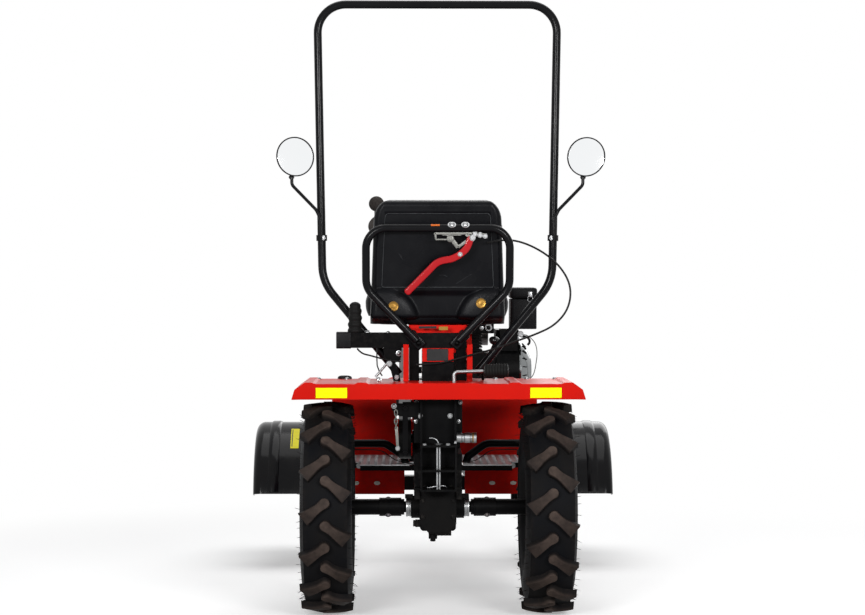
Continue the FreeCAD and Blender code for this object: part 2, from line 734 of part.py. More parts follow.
def make_guard():
    """Bent tube loop behind the seat, leaning back, bolted to the beam's rear face."""
    foot_y = -size.beam_deep / 2 - size.guard_tube - size.seat_gap
    top_y = foot_y - 44

    def at(x, z):
        share = (z - size.beam_low) / (size.guard_top - size.beam_low)
        return from_rear(x, foot_y + (top_y - foot_y) * share, z)

    foot_z = (size.beam_low + size.beam_top) / 2
    corners = ((size.guard_foot, foot_z), (size.guard_half, size.guard_knee),
               (size.guard_half, size.guard_top))
    points = [at(-x, z) for x, z in corners] + [at(x, z) for x, z in corners[::-1]]
    points[0].y = from_rear(0, foot_y, 0).y
    points[-1].y = points[0].y
    bends = [70, size.guard_bend, size.guard_bend, 70]
    feature("seat_guard", tube(points, bends, size.guard_tube))

    under = size.guard_top - size.guard_tube - size.seat_gap
    y = top_y + size.guard_tube
    plate = Part.makeBox(156, 3, 42, from_rear(-12, y - 14, under - 42))
    lug = Part.makeBox(40, 14, 3, from_rear(20, y - 14, under - 3))
    pivot_z = size.guard_top - 30
    pivot = cylinder(size.joint_pin, from_rear(size.brake_pivot_x, y - 24, pivot_z),
                     from_rear(size.brake_pivot_x, y - 13, pivot_z))
    end = from_rear(*brake_route[0])
    ahead = (from_rear(*brake_route[1]) - end).normalize()
    ferrule = cylinder(5.5, end - ahead * 24, end)
    feature("brake_bracket", joined(plate, lug, pivot, ferrule))

    line = [(size.brake_pivot_x + x, pivot_z - drop)
            for x, drop in ((-7, 6), (-37, 40), (-59, 68), (-99, 72), (-121, 90), (-195, 164))]
    wide = [9, 9, 10, 10, 9, 8]
    upper = []
    lower = []
    for index, ((x, z), half) in enumerate(zip(line, wide)):
        before = line[max(index - 1, 0)]
        after = line[min(index + 1, len(line) - 1)]
        run = Vector(after[0] - before[0], 0, after[1] - before[1]).normalize()
        across = Vector(-run.z, 0, run.x) * half
        middle = from_rear(x, y - 24.5, z)
        upper.append(middle + across)
        lower.append(middle - across)
    outline = Part.makePolygon(upper + lower[::-1] + upper[:1])
    lever = Part.Face(outline).extrude(Vector(0, 10, 0))
    bore = cylinder(size.joint_pin + size.seat_gap, from_rear(size.brake_pivot_x, y - 30, pivot_z),
                    from_rear(size.brake_pivot_x, y, pivot_z))
    feature("brake_lever", lever.cut(bore))


def make_hoop():
    """Tall roll hoop in one bent tube, its feet on the stand's side plates."""
    y = size.beam_deep / 2 + size.hoop_tube + size.seat_gap
    points = [from_rear(-size.hoop_foot, y, size.hoop_foot_z), from_rear(-size.hoop_waist, y, size.hoop_knee),
              from_rear(-size.hoop_half, y, size.hoop_top), from_rear(size.hoop_half, y, size.hoop_top),
              from_rear(size.hoop_waist, y, size.hoop_knee), from_rear(size.hoop_foot, y, size.hoop_foot_z)]
    bends = [size.hoop_knee_bend, size.hoop_bend, size.hoop_bend, size.hoop_knee_bend]
    hoop = tube(points, bends, size.hoop_tube)
    beyond = Part.makeBox(2 * size.stand_half, 200, 200,
                          from_rear(-size.stand_half, -50, size.deck_top - 100))
    feature("roll_hoop", hoop.cut(beyond))

    behind = y - size.hoop_tube - size.stalk_radius - size.seat_gap
    foot = size.stalk_foot
    lean = (size.hoop_half - size.hoop_waist) / (size.hoop_top - size.hoop_knee)
    side_x = size.hoop_waist + lean * (foot - size.hoop_knee)
    stalk = tube([from_rear(side_x, behind, foot), from_rear(side_x + 62 * lean, behind, foot + 62),
                  from_rear(side_x + 16, behind, foot + 94),
                  from_rear(size.mirror_x, behind, size.mirror_z - size.mirror_radius - 25),
                  from_rear(size.mirror_x, behind, size.mirror_z - size.mirror_radius)],
                 [40, 40, 20], size.stalk_radius)
    low = from_rear(side_x, y, foot)
    ahead = Vector(lean, 0, 1)
    clamp = cylinder(size.hoop_tube + 4, low, low + ahead * 18)
    clamp = clamp.cut(cylinder(size.hoop_tube + size.seat_gap, low - ahead * 18, low + ahead * 32))
    feature("mirror_stalks", pair(joined(stalk, clamp)))

    head_y = behind
    shell = Part.makeCone(size.mirror_radius, size.mirror_radius - 22, 26,
                          from_rear(size.mirror_x, head_y - 8, size.mirror_z), Vector(0, 1, 0))
    x = size.mirror_x
    z = size.mirror_z
    rim = Part.makeCylinder(size.mirror_radius, 6, from_rear(x, head_y - 14, z), Vector(0, 1, 0))
    neck = cylinder(size.stalk_radius + 1.3, from_rear(x, behind, z - size.mirror_radius - 16),
                    from_rear(x, behind, z - 40))
    socket = cylinder(size.stalk_radius + size.seat_gap, from_rear(x, behind, z - 120),
                      from_rear(x, behind, z - size.mirror_radius))
    feature("mirror_heads", pair(joined(shell, rim, neck).cut(socket)))


def make_levers():
    """The two hand levers on the deck's right."""
    deck = size.deck_top
    knob_at = from_rear(size.gear_x + 37, 88, deck + 120)
    stem = tube([from_rear(size.gear_x, 78, deck), from_rear(size.gear_x, 78, deck + 25), knob_at], [30], 5)
    feature("gear_lever", joined(stem, Part.makeSphere(17, knob_at)))
    y = size.deck_back + 62
    grip_from = from_rear(size.drive_x + 90, y, deck + 41)
    grip_to = from_rear(size.drive_x + 160, y, deck + 43)
    shaft = tube([from_rear(size.drive_x, y, deck), from_rear(size.drive_x, y, deck + 38),
                  grip_from + Vector(4, 0, 0), grip_to], [12, 60], 5.5)
    grip = cylinder(18, grip_from, grip_to)
    feature("drive_lever", joined(shaft, grip))


# ---------------------------------------------------------------- foot wells

def make_wells():
    """Chequer plates, the red shield in front of them and the bent guard tubes beside the wheels."""
    boards = Sketched("foot_boards", ("0", "rear_y", "0"))
    for sign in ("", "0 - "):
        outline = [(f"{sign}board_inner", "board_back"), (f"{sign}board_step", "board_back"),
                   (f"{sign}board_step", "board_step_back"), (f"{sign}board_outer", "board_step_back"),
                   (f"{sign}board_outer", "board_front"), (f"{sign}board_inner", "board_front")]
        boards.pad("XY", [outline], "board_top - sheet_wall", "board_top")

    shield = Sketched("leg_shield", ("0", "rear_y", "0"))
    notch = "shield_notch"
    top = "rail_top + 12"
    step = "board_top - 24"
    belt_left = "0 - belt_outer - 10"
    belt_right = "6 - belt_inner"
    belt_low = "rail_top + 45"
    shield.pad("XZ", [[("0 - board_outer", "shield_low"), (f"0 - {notch}", "shield_low"),
                       (f"0 - {notch}", step), ("0 - rail_outer - seat_gap", step),
                       ("0 - rail_outer - seat_gap", top), ("rail_outer + seat_gap", top),
                       ("rail_outer + seat_gap", step), (notch, step), (notch, "shield_low"),
                       ("board_outer", "shield_low"), ("board_outer", "shield_top"),
                       (belt_right, "shield_top"), (belt_right, belt_low),
                       (belt_left, belt_low), (belt_left, "shield_top"),
                       ("0 - board_outer", "shield_top")]],
               "board_front", "board_front + sheet_wall")
    ribs = [rectangle(*mirrored(side, f"{start}", f"{start} + 14"), "shield_low + 64", "shield_top - 110")
            for side in (-1, 1) for start in (200, 250, 300)]
    shield.pad("XZ", ribs, "board_front + sheet_wall - 1", "board_front + sheet_wall + 4")
    for side in (-1, 1):
        middle = "slot_x" if side > 0 else "0 - slot_x"
        for word in ("-", "+"):
            x = f"{middle} {word} slot_pitch / 2"
            shield.cut("XZ", [(f"{x} - 3", "slot_z", "7"), ], "board_front - 2", "board_front + 12")
            shield.cut("XZ", [(f"{x} + 3", "slot_z", "7"), ], "board_front - 2", "board_front + 12")
            shield.cut("XZ", [rectangle(f"{x} - 3", f"{x} + 3", "slot_z - 7", "slot_z + 7")],
                       "board_front - 2", "board_front + 12")
    shield.pad("XY", [rectangle("0 - rail_outer", "rail_outer",
                                "board_front + sheet_wall - 1", "board_front + 15")],
               "rail_top", "rail_top + sheet_wall")
    shield.pad("XZ", [rectangle("0 - rail_outer", "rail_outer", "rail_top", "rail_top + 20")],
               "board_front", "board_front + sheet_wall")

    y = size.board_back + size.cross_deep + 46
    floor = size.board_top
    path = [from_rear(size.board_inner + 12, y, floor), from_rear(size.board_inner + 18, y, floor + 20),
            from_rear(160, y, size.well_top), from_rear(318, y, size.well_top),
            from_rear(318, y + 200, size.well_top - 6), from_rear(318, y + 236, floor)]
    below = Part.makeBox(500, 500, 100, from_rear(0, 200, floor - 100))
    feature("well_guards", pair(tube(path, [14, 50, 44, 34], size.well_tube).cut(below)))


# ---------------------------------------------------------------- front end

def make_arches():
    """Wide moulded arches over the front wheels, each a thin shell turned about the axle."""
    for side, word in ((-1, "left"), (1, "right")):
        arch = Sketched(f"front_arch_{word}", ("0", "front_y", "front_tyre_radius"))
        arch.body.Placement = Placement(Vector(0, 0, 0), Rotation(Vector(1, 0, 0), 7.5))
        inner = "arch_radius - arch_wall"
        points = [("arch_inner", inner), ("arch_outer - arch_wall", inner, "arch_round - arch_wall"),
                  ("arch_outer - arch_wall", f"{inner} - arch_skirt - arch_round"),
                  ("arch_outer", f"{inner} - arch_skirt - arch_round"),
                  ("arch_outer", "arch_radius", "arch_round"), ("arch_inner", "arch_radius")]
        if side < 0:
            points = [(f"0 - ({point[0]})", *point[1:]) for point in points]
        arch.turn(points, "143")


def make_front_guard():
    """Tube nose guard on the rails' ends, with the lamp bar."""
    nose = size.front_y + size.front_reach - size.nose_tube
    back = size.front_y + size.front_reach - 70
    z = size.rail_bottom + 25
    half = size.nose_half
    rail = size.rail_inner + size.rail_wide / 2
    top = z + size.nose_high
    corners = ((rail, back, z), (rail, nose, z), (half, nose, z), (half, nose, top))
    loop = tube([Vector(-x, y, z) for x, y, z in corners] + [Vector(x, y, z) for x, y, z in corners[::-1]],
                [30, 50, 60, 60, 50, 30], size.nose_tube)
    lamp_z = z + size.lamp_rise
    bar = cylinder(size.lamp_bar, Vector(-half, nose, lamp_z), Vector(half, nose, lamp_z))
    feature("front_guard", joined(loop, bar))
    radius = size.lamp_radius
    shell = Part.makeCone(radius - 21, radius - 3, 52, Vector(size.lamp_x, nose - 57, lamp_z),
                          Vector(0, 1, 0))
    lens = Part.makeCylinder(radius, 12, Vector(size.lamp_x, nose - 5, lamp_z), Vector(0, 1, 0))
    hole = cylinder(size.lamp_bar + size.seat_gap, Vector(0, nose, lamp_z), Vector(half + 10, nose, lamp_z))
    lamp = joined(shell, lens).cut(hole)
    feature("headlamps", pair(lamp))


def make_front_axle():
    """Axle beam that rocks on its middle pin, with the two kingpin bosses."""
    axle = Sketched("front_axle", ("0", "front_y", "0"))
    axle.pad("YZ", [rectangle("0 - beam_axle / 2", "beam_axle / 2", "axle_low", "axle_low + beam_axle")],
             "0 - kingpin_x + 12", "kingpin_x - 12")
    for side in (-1, 1):
        x = "kingpin_x" if side > 0 else "0 - kingpin_x"
        axle.pad("XY", [(x, "0", "kingpin_boss + 5")], "axle_low - 8", "axle_low + beam_axle + 8")
        axle.cut("XY", [(x, "0", "kingpin_radius + seat_gap")], "axle_low - 9", "axle_low + beam_axle + 9")


def arm_plate(pivot, tip, z, thick):
    """A flat arm with round ends between two upright pins."""
    low = Vector(0, 0, z - thick / 2)
    a = pivot + low
    b = tip + low
    run = (b - a).normalize()
    across = Vector(-run.y, run.x, 0) * 11
    bar = Part.Face(Part.makePolygon([a + across, b + across, b - across, a - across, a + across]))
    up = Vector(0, 0, thick)
    return joined(bar.extrude(up), cylinder(18, a, a + up), cylinder(14, b, b + up))


def make_knuckles():
    """Kingpin, wheel spindle and steering arms of each side."""
    boss_low = size.axle_low - 8
    for side, word in ((-1, "left"), (1, "right")):
        pivot = Vector(side * size.kingpin_x, size.front_y, 0)
        hub = pivot + Vector(0, 0, size.front_tyre_radius)
        pin = cylinder(size.kingpin_radius, pivot + Vector(0, 0, 190), pivot + Vector(0, 0, size.arm_top + 8))
        foot = cylinder(22, pivot + Vector(0, 0, 182), pivot + Vector(0, 0, boss_low - 2))
        spindle_end = Vector(side * (size.front_wheel_x + 46), size.front_y, size.front_tyre_radius)
        spindle = cylinder(size.spindle_radius, hub, spindle_end)
        shoulder = cylinder(19, hub, hub + Vector(side * 44, 0, 0))
        nut = cylinder(20, spindle_end - Vector(side * 9, 0, 0), spindle_end)
        tip = pivot + Vector(0, -size.arm_reach, 0)
        pieces = [pin, foot, spindle, shoulder, nut, arm_plate(pivot, tip, size.arm_z, size.arm_thick)]
        pieces.append(cylinder(size.joint_pin, tip + Vector(0, 0, size.arm_z),
                               tip + Vector(0, 0, size.tie_z + size.eye_half + 4)))
        if side < 0:
            reach = pivot + Vector(size.arm_reach, 0, 0)
            pieces.append(arm_plate(pivot, reach, size.arm_z, size.arm_thick))
            pieces.append(cylinder(size.joint_pin, reach + Vector(0, 0, size.arm_z),
                                   reach + Vector(0, 0, size.drag_z + size.eye_half + 4)))
        feature(f"knuckle_{word}", joined(*pieces))


def link(start, end):
    """A round rod between two pins, with an eye on each."""
    up = Vector(0, 0, size.eye_half)
    shape = joined(cylinder(size.link_radius, start, end), cylinder(size.joint_eye, start - up, start + up),
                   cylinder(size.joint_eye, end - up, end + up))
    for pin in (start, end):
        shape = shape.cut(cylinder(size.joint_pin + size.seat_gap, pin - up * 2, pin + up * 2))
    return shape


def make_steering():
    """Tie rod, drag link and drop arm in parallel, the box that turns them and the column."""
    y = size.front_y - size.arm_reach
    feature("tie_rod", link(Vector(-size.kingpin_x, y, size.tie_z), Vector(size.kingpin_x, y, size.tie_z)))
    box_y = size.rear_y + size.pitman_y
    drop_pin = Vector(size.arm_reach, box_y, size.drag_z)
    knuckle_pin = Vector(size.arm_reach - size.kingpin_x, size.front_y, size.drag_z)
    feature("drag_link", link(drop_pin, knuckle_pin))
    pivot = Vector(0, box_y, 0)
    drop_z = size.drag_z + size.eye_half + 4 + size.arm_thick / 2
    tip = Vector(size.arm_reach, box_y, 0)
    drop = joined(arm_plate(pivot, tip, drop_z, size.arm_thick),
                  cylinder(size.joint_pin, tip + Vector(0, 0, size.drag_z - size.eye_half - 3),
                           tip + Vector(0, 0, drop_z)),
                  cylinder(11, pivot + Vector(0, 0, drop_z), pivot + Vector(0, 0, drop_z + 28)))
    feature("drop_arm", drop)
    low = drop_z + size.arm_thick / 2 + 2
    case = Part.makeBox(120, 96, size.rail_bottom - low, Vector(-60, box_y - 48, low))
    neck = cylinder(26, Vector(0, box_y, low + 4), Vector(0, box_y, size.box_top))
    shaft_bore = cylinder(11 + size.seat_gap, Vector(0, box_y, low - 1), Vector(0, box_y, drop_z + 30))
    feature("steering_box", joined(case, neck).cut(shaft_bore))

    tilt = math.radians(size.column_tilt)
    axis = Vector(0, -math.sin(tilt), math.cos(tilt))
    wheel = from_rear(0, size.steer_wheel_y, size.steer_wheel_z)
    foot = wheel - axis * ((size.steer_wheel_z - size.box_top) / axis.z)
    column = cylinder(size.column_radius, foot - axis * 20, wheel - axis * 50)
    column = column.cut(cylinder(9 + size.seat_gap + 0.3, wheel - axis * 130, wheel))
    column = column.cut(Part.makeBox(200, 200, 100, Vector(-100, foot.y - 100, size.box_top - 100)))
    cheeks = []
    for side in (-1, 1):
        inner = side * (size.column_radius - 3)
        outline = [from_rear(inner, 617, size.rail_top), from_rear(inner, 656, size.rail_top),
                   from_rear(inner, 636, 740), from_rear(inner, 592, 740), from_rear(inner, 617, 660)]
        face = Part.Face(Part.makePolygon(outline + outline[:1]))
        cheek = face.extrude(Vector(side * 4, 0, 0))
        reach = 44 * side
        flange = Part.makeBox(44, 36, size.sheet_wall,
                              from_rear(min(inner, inner + reach), 618, size.rail_top))
        cheeks.append(joined(cheek, flange))
    feature("steering_column", joined(column, *cheeks))

    frame = Rotation(Vector(1, 0, 0), size.column_tilt)
    rim = Part.makeTorus(size.steer_wheel_radius - size.steer_wheel_tube, size.steer_wheel_tube)
    hub = Part.makeCylinder(34, 30, Vector(0, 0, -40))
    stub = Part.makeCylinder(9, 100, Vector(0, 0, -110))
    pieces = [rim, hub, stub]
    for spoke in range(3):
        turn = Rotation(Vector(0, 0, 1), 90 + 120 * spoke)
        end = turn.multVec(Vector(size.steer_wheel_radius - size.steer_wheel_tube, 0, 0))
        start = turn.multVec(Vector(20, 0, -25))
        pieces.append(cylinder(8, start, end))
    knob_turn = Rotation(Vector(0, 0, 1), size.knob_turn)
    knob = knob_turn.multVec(Vector(size.steer_wheel_radius - size.steer_wheel_tube, 0, 0))
    pieces.append(Part.makeCylinder(7, 46, knob))
    pieces.append(Part.makeSphere(25, knob + Vector(0, 0, 56)))
    feature("steering_wheel", joined(*pieces), Placement(wheel, frame))


# ---------------------------------------------------------------- wheels

def on_tread(across, around, out, turn):
    """A point across the tyre, along its tread and out on the spoke raised by turn from the rear."""
    return Rotation(Vector(1, 0, 0), -turn).multVec(Vector(across, -out, around))


def flat_solid(loops):
    """A solid closed by flat faces, one for each loop of corners."""
    solid = Part.Solid(Part.Shell([Part.Face(Part.makePolygon(loop + loop[:1])) for loop in loops]))
    if solid.Volume < 0:
        solid.reverse()
    return solid


def carcass(radius, half, rim_radius, bead, count, turn):
    """Tyre body in flat facets: crown, shoulder, bulging sidewall and bead round the rim."""
    high = radius - rim_radius
    bore = (rim_radius + size.seat_gap) / math.cos(math.pi / count)
    lip = rim_radius + size.rim_lip
    right = [(0.88 * half, radius - 0.11 * high), (half, radius - 0.36 * high), (half, radius - 0.59 * high),
             (bead + 12, lip + 6), (bead, lip + 2), (bead, bore)]
    section = [(0, radius)] + right + [(-across, out) for across, out in right[::-1]]
    rings = [[on_tread(across, 0, out, turn + (step + 0.5) * 360 / count) for across, out in section]
             for step in range(count)]
    loops = []
    for ring, after in zip(rings, rings[1:] + rings[:1]):
        ahead = zip(ring, ring[1:] + ring[:1], after[1:] + after[:1], after)
        loops += [list(corners) for corners in ahead]
    return flat_solid(loops)


def lug(side, radius, root, half, reach, turn):
    """One tread lug: a bar from its head on the middle, out and down to its sloping end."""
    rake = math.radians(size.lug_rake)
    tip = (reach - 1.21 * half * math.sin(rake)) / math.cos(rake)

    def outline(end, level):
        wide = half * (1 + 0.21 * (end + 0.2 * half) / (tip + 0.2 * half))
        right = [(-0.93 * half, 0.5 * half), (-0.2 * half, half), (end, wide)]
        spots = right + [(along, -beside) for along, beside in right[::-1]]
        flat = [(along * math.cos(rake) + beside * math.sin(rake),
                 beside * math.cos(rake) - along * math.sin(rake)) for along, beside in spots]
        if level is None:
            level = min(size.lug_fall * across + math.sqrt(radius ** 2 - around ** 2)
                        for across, around in flat)
        return [on_tread(side * across, around, level - size.lug_fall * across, turn)
                for across, around in flat]

    low = outline(tip, root)
    face = outline(tip - size.lug_slope, None)
    walls = [list(corners) for corners in zip(low, low[1:] + low[:1], face[1:] + face[:1], face)]
    return flat_solid([low, face] + walls)


def lugged_tyre(label, hub, radius, width, rim_radius, rim_width, facets, lugs, deep, half, turn):
    """A tyre in flat facets, its left and right lugs half a pitch apart and fused to the carcass."""
    crown = radius - deep
    pitch = 360 / lugs
    body = carcass(crown, width / 2, rim_radius, rim_width / 2 - 4, facets, turn)
    root = crown - 0.4 * (crown - rim_radius)
    reach = width / 2 - size.seat_gap
    bars = [lug(side, radius, root, half, reach, turn + (step + 0.25 + 0.25 * side) * pitch)
            for side in (-1, 1) for step in range(lugs)]
    feature(label, body.fuse(bars).removeSplitter(), Placement(hub, Rotation()))


def rim_outline(rim_radius, rim_width, hub, bore, hub_in, hub_out):
    """Barrel with rolled lips, a flat disc in its middle and the hub."""
    half = f"{rim_width} / 2"
    inside = f"{rim_radius} - rim_wall"
    lip = f"{rim_radius} + rim_lip"
    return [("3", inside), (f"{half} + 5", inside), (f"{half} + 5", lip), (f"{half} + 1", lip),
            (half, rim_radius),
            (f"0 - {half}", rim_radius), (f"0 - {half} - 1", lip), (f"0 - {half} - 5", lip),
            (f"0 - {half} - 5", inside), ("0 - 3", inside), ("0 - 3", hub), (f"0 - {hub_in}", hub),
            (f"0 - {hub_in}", bore), (hub_out, bore), (hub_out, hub), ("3", hub)]


def make_wheels():
    """Rear wheels on their half-shaft sleeves, front wheels on their spindles."""
    for side, word in ((-1, "left"), (1, "right")):
        sign = "" if side > 0 else "0 - "
        rear_at = (f"{sign}rear_wheel_x", "rear_y", "rear_tyre_radius")
        front_at = (f"{sign}front_wheel_x", "front_y", "front_tyre_radius")
        lugged_tyre(f"rear_tyre_{word}", Vector(side * size.rear_wheel_x, size.rear_y, size.rear_tyre_radius),
                    size.rear_tyre_radius, size.rear_tyre_width, size.rear_rim_radius, size.rear_rim_width,
                    round(size.rear_facets), round(size.rear_lugs), size.rear_lug_deep, size.rear_lug_half,
                    size.rear_lug_turn_left if side < 0 else size.rear_lug_turn_right)
        rim = Sketched(f"rear_wheel_{word}", rear_at)
        turned = rim_outline("rear_rim_radius", "rear_rim_width", "sleeve_radius + 10", "1", "30", "28")
        rim.turn(turned)
        reach = "rear_wheel_x"
        spans = ((("seal_reach + running_gap", "rear_wheel_x + 28"), "sleeve_radius"),
                 (("sleeve_step_from", "sleeve_step_to"), "sleeve_step_radius"),
                 (("case_wide / 2 + 2", "seal_reach + 10"), "shaft_radius"))
        for (start, end), radius in spans:
            start, end = (f"{start} - {reach}", f"{end} - {reach}")
            rim.pad("YZ", [("0", "0", radius)], *mirrored(side, start, end))
        lugged_tyre(f"front_tyre_{word}",
                    Vector(side * size.front_wheel_x, size.front_y, size.front_tyre_radius),
                    size.front_tyre_radius, size.front_tyre_width, size.front_rim_radius, size.front_rim_width,
                    round(size.front_facets), round(size.front_lugs), size.front_lug_deep,
                    size.front_lug_half, size.front_lug_turn)
        rim = Sketched(f"front_wheel_{word}", front_at, None if side > 0 else Rotation(Vector(0, 0, 1), 180))
        rim.turn(rim_outline("front_rim_radius", "front_rim_width", "26",
                             "spindle_radius + seat_gap", "42", "34"))


# ---------------------------------------------------------------- engine and belt drive

def make_engine():
    """Open single-cylinder engine across the frame, pull starter to the right and belt to the left."""
    y = size.engine_y
    z = size.engine_z
    base = size.engine_base
    left = size.engine_left
    right = size.engine_right
    case = Part.makeBox(right - left, 190, 160, from_rear(left, y - 95, base + 8))
    feet = Part.makeBox(right - left + 20, 200, 8, from_rear(left - 70, y - 100, base))
    fins = [Part.makeBox(150, 130 + 12 * (i % 2), 4, from_rear(left + 30, y + 10, base + 170 + 11 * i))
            for i in range(8)]
    barrel = Part.makeBox(130, 110, 120, from_rear(left + 40, y + 20, base + 150))
    head = Part.makeBox(110, 90, 34, from_rear(left + 50, y + 30, base + 262))
    fan = cylinder(size.fan_radius, from_rear(right - 2, y, z), from_rear(size.fan_right, y, z))
    duct = Part.makeBox(size.fan_right - right + 2, 150, 140, from_rear(right - 2, y - 40, z))
    intake = Part.makeBox(60, 66, 75, from_rear(right + 10, y - 100, base + 175))
    pulley_left = -size.belt_outer + 6
    shaft = cylinder(12, from_rear(pulley_left, y, z), from_rear(left + 10, y, z))
    pulley = cylinder(60, from_rear(pulley_left, y, z), from_rear(pulley_left + 24, y, z))
    feature("engine_block", joined(case, feet, barrel, head, fan, duct, intake, shaft, pulley, *fins))

    skirt_right = size.fan_right + size.recoil_skirt
    depth = size.recoil_right - skirt_right
    dome = [cylinder(size.recoil_radius, from_rear(size.fan_right, y, z), from_rear(skirt_right, y, z))]
    for start in (0, 25, 50):
        low = math.radians(start)
        high = math.radians(start + 25)
        rise = depth / math.sin(math.radians(75))
        dome.append(Part.makeCone(size.recoil_radius * math.cos(low), size.recoil_radius * math.cos(high),
                                  rise * (math.sin(high) - math.sin(low)),
                                  from_rear(skirt_right + rise * math.sin(low), y, z), Vector(1, 0, 0)))
    feature("recoil_cover", joined(*dome))

    cleaner = Part.makeBox(92, 130, 141, from_rear(right + 43, y - 130, base + 250))
    cleaner = cleaner.makeFillet(12, [edge for edge in cleaner.Edges if edge.BoundBox.ZLength < 1])
    feature("air_cleaner", cleaner)

    tank = Part.makeBox(200, 170, 110, from_rear(left - 10, y - 175, base + 265))
    tank = tank.makeFillet(22, tank.Edges)
    cap = cylinder(30, from_rear(left + 90, y - 90, base + 373), from_rear(left + 90, y - 90, base + 393))
    foot = Part.makeBox(120, 60, 110, from_rear(left + 20, y - 92, base + 168))
    feature("fuel_tank", joined(tank, cap, foot))

    ahead = y + 202
    muffler = cylinder(48, from_rear(left + 10, ahead, base + 230), from_rear(right - 20, ahead, base + 230))
    elbow = from_rear(left + 105, ahead - 12, base + 285)
    pipe = cylinder(12, from_rear(left + 105, y + 120, base + 285), elbow)
    drop = cylinder(12, elbow, from_rear(left + 105, ahead - 6, base + 250))
    feature("muffler", joined(muffler, pipe, drop))


def make_belt_guard():
    """Sheet cover over the belt from the engine's left side back to the gearbox input."""
    back = (100, 520, 62)
    front = (size.engine_y, size.engine_z, 76)
    inner_x = -size.belt_inner
    outer_x = -size.belt_outer

    def cover(grow, x_from, x_to):
        run = Vector(0, front[0] - back[0], front[1] - back[1]).normalize()
        across = Vector(0, -run.z, run.y)
        ends = []
        for y, z, radius in (back, front):
            ends.append((from_rear(x_from, y, z), radius + grow))
        corners = [ends[0][0] + across * ends[0][1], ends[1][0] + across * ends[1][1],
                   ends[1][0] - across * ends[1][1], ends[0][0] - across * ends[0][1]]
        reach = Vector(x_to - x_from, 0, 0)
        middle = Part.Face(Part.makePolygon(corners + corners[:1])).extrude(reach)
        rounds = [cylinder(radius, at, at + reach) for at, radius in ends]
        return joined(middle, *rounds)

    guard = cover(0, outer_x, inner_x)
    guard = guard.cut(cover(-3, outer_x + 3, inner_x + 1))
    y, z, _ = back
    stub = cylinder(14, from_rear(outer_x + 3, y, z), from_rear(-size.rail_outer - 4, y, z))
    tongue = Part.makeBox(4, 40, z + 25 - size.rail_bottom - 10,
                          from_rear(-size.rail_outer - 4, y - 20, size.rail_bottom + 10))
    feature("belt_guard", joined(guard, stub, tongue))


# ---------------------------------------------------------------- cables

def cord(label, points, radius):
    """A free cable: each arc as large as its two runs allow."""
    points = [from_rear(*point) for point in points]
    radii = []
    for before, corner, after in zip(points, points[1:], points[2:]):
        turn = (corner - before).getAngle(after - corner)
        shorter = min((corner - before).Length, (after - corner).Length)
        radii.append(0.45 * shorter / math.tan(turn / 2))
    shape = tube(points, radii, radius)
    length = tube_path(points, radii).Length
    ratio = shape.Volume / (math.pi * radius ** 2 * length)
    print(label, "length", round(length), "radii", [round(r) for r in radii], "volume share", round(ratio, 4))
    feature(label, shape)


def make_cables():
    """Brake cable in its free loop on the right, and the short lever cable on the left."""
    cord("brake_cable", brake_route, size.cable_radius)
    cord("lever_cable", lever_route, 2.5)


make_frame()
make_gearbox()
make_hitch()
make_linkage()
make_deck()
make_stand()
make_beam()
make_seat()
make_guard()
make_hoop()
make_levers()
make_wells()
make_arches()
make_front_guard()
make_front_axle()
make_knuckles()
make_steering()
make_wheels()
make_engine()
make_belt_guard()
make_cables()
doc.recompute()

for item in doc.Objects:
    if "Invalid" in item.State or "Error" in item.State:
        raise RuntimeError(f"{item.Label} did not recompute: {item.State}")
for name, before, after in cut_checks:
    if after >= before - 0.01:
        raise RuntimeError(f"{name} cut nothing")
for item in parts:
    if item.Shape.isNull() or not item.Shape.isValid():
        raise RuntimeError(f"{item.Label} has no sound shape")

os.makedirs("parts", exist_ok=True)
for item in parts:
    item.Shape.exportStep(f"parts/{item.Label}.step")
print(len(parts), "sub-parts written")
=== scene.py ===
import math
import bpy
import bmesh
import numpy as np
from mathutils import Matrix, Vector


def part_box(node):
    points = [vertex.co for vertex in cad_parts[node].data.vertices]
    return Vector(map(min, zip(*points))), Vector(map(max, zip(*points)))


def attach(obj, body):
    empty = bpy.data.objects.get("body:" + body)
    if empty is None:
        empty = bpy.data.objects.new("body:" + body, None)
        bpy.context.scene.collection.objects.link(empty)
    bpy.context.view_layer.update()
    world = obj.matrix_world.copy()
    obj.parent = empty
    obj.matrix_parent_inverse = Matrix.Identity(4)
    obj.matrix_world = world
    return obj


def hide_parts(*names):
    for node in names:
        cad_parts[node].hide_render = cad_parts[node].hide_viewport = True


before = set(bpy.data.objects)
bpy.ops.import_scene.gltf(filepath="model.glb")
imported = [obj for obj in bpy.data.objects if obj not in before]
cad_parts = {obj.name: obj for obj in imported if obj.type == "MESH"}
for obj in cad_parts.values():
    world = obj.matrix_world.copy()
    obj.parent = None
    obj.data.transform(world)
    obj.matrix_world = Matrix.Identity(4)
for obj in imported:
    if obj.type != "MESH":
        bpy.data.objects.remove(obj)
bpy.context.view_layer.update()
print("frame loaded")

rearY = -0.59      # rear axle, ahead of which everything is measured
sides = ((-1, "left"), (1, "right"))
upAxis, downAxis, backAxis = (0, 0, 1), (0, 0, -1), (0, -1, 0)

cameraLook = {"place": (-0.105, -7.09, 1.07), "turn": -0.79, "dip": 1.27, "lens": 89.2, "far": 60}

camera = bpy.data.objects.new("camera", bpy.data.cameras.new("camera"))
bpy.context.scene.collection.objects.link(camera)
camera.location = cameraLook["place"]
camera.rotation_euler = (math.radians(90 - cameraLook["dip"]), 0, math.radians(cameraLook["turn"]))
camera.data.lens = cameraLook["lens"]
camera.data.clip_end = cameraLook["far"]
bpy.context.scene.camera = camera
bpy.context.scene.view_settings.view_transform = "Standard"


def nodeTree(material):
    material.use_nodes = True
    tree = material.node_tree
    tree.nodes.clear()
    return tree


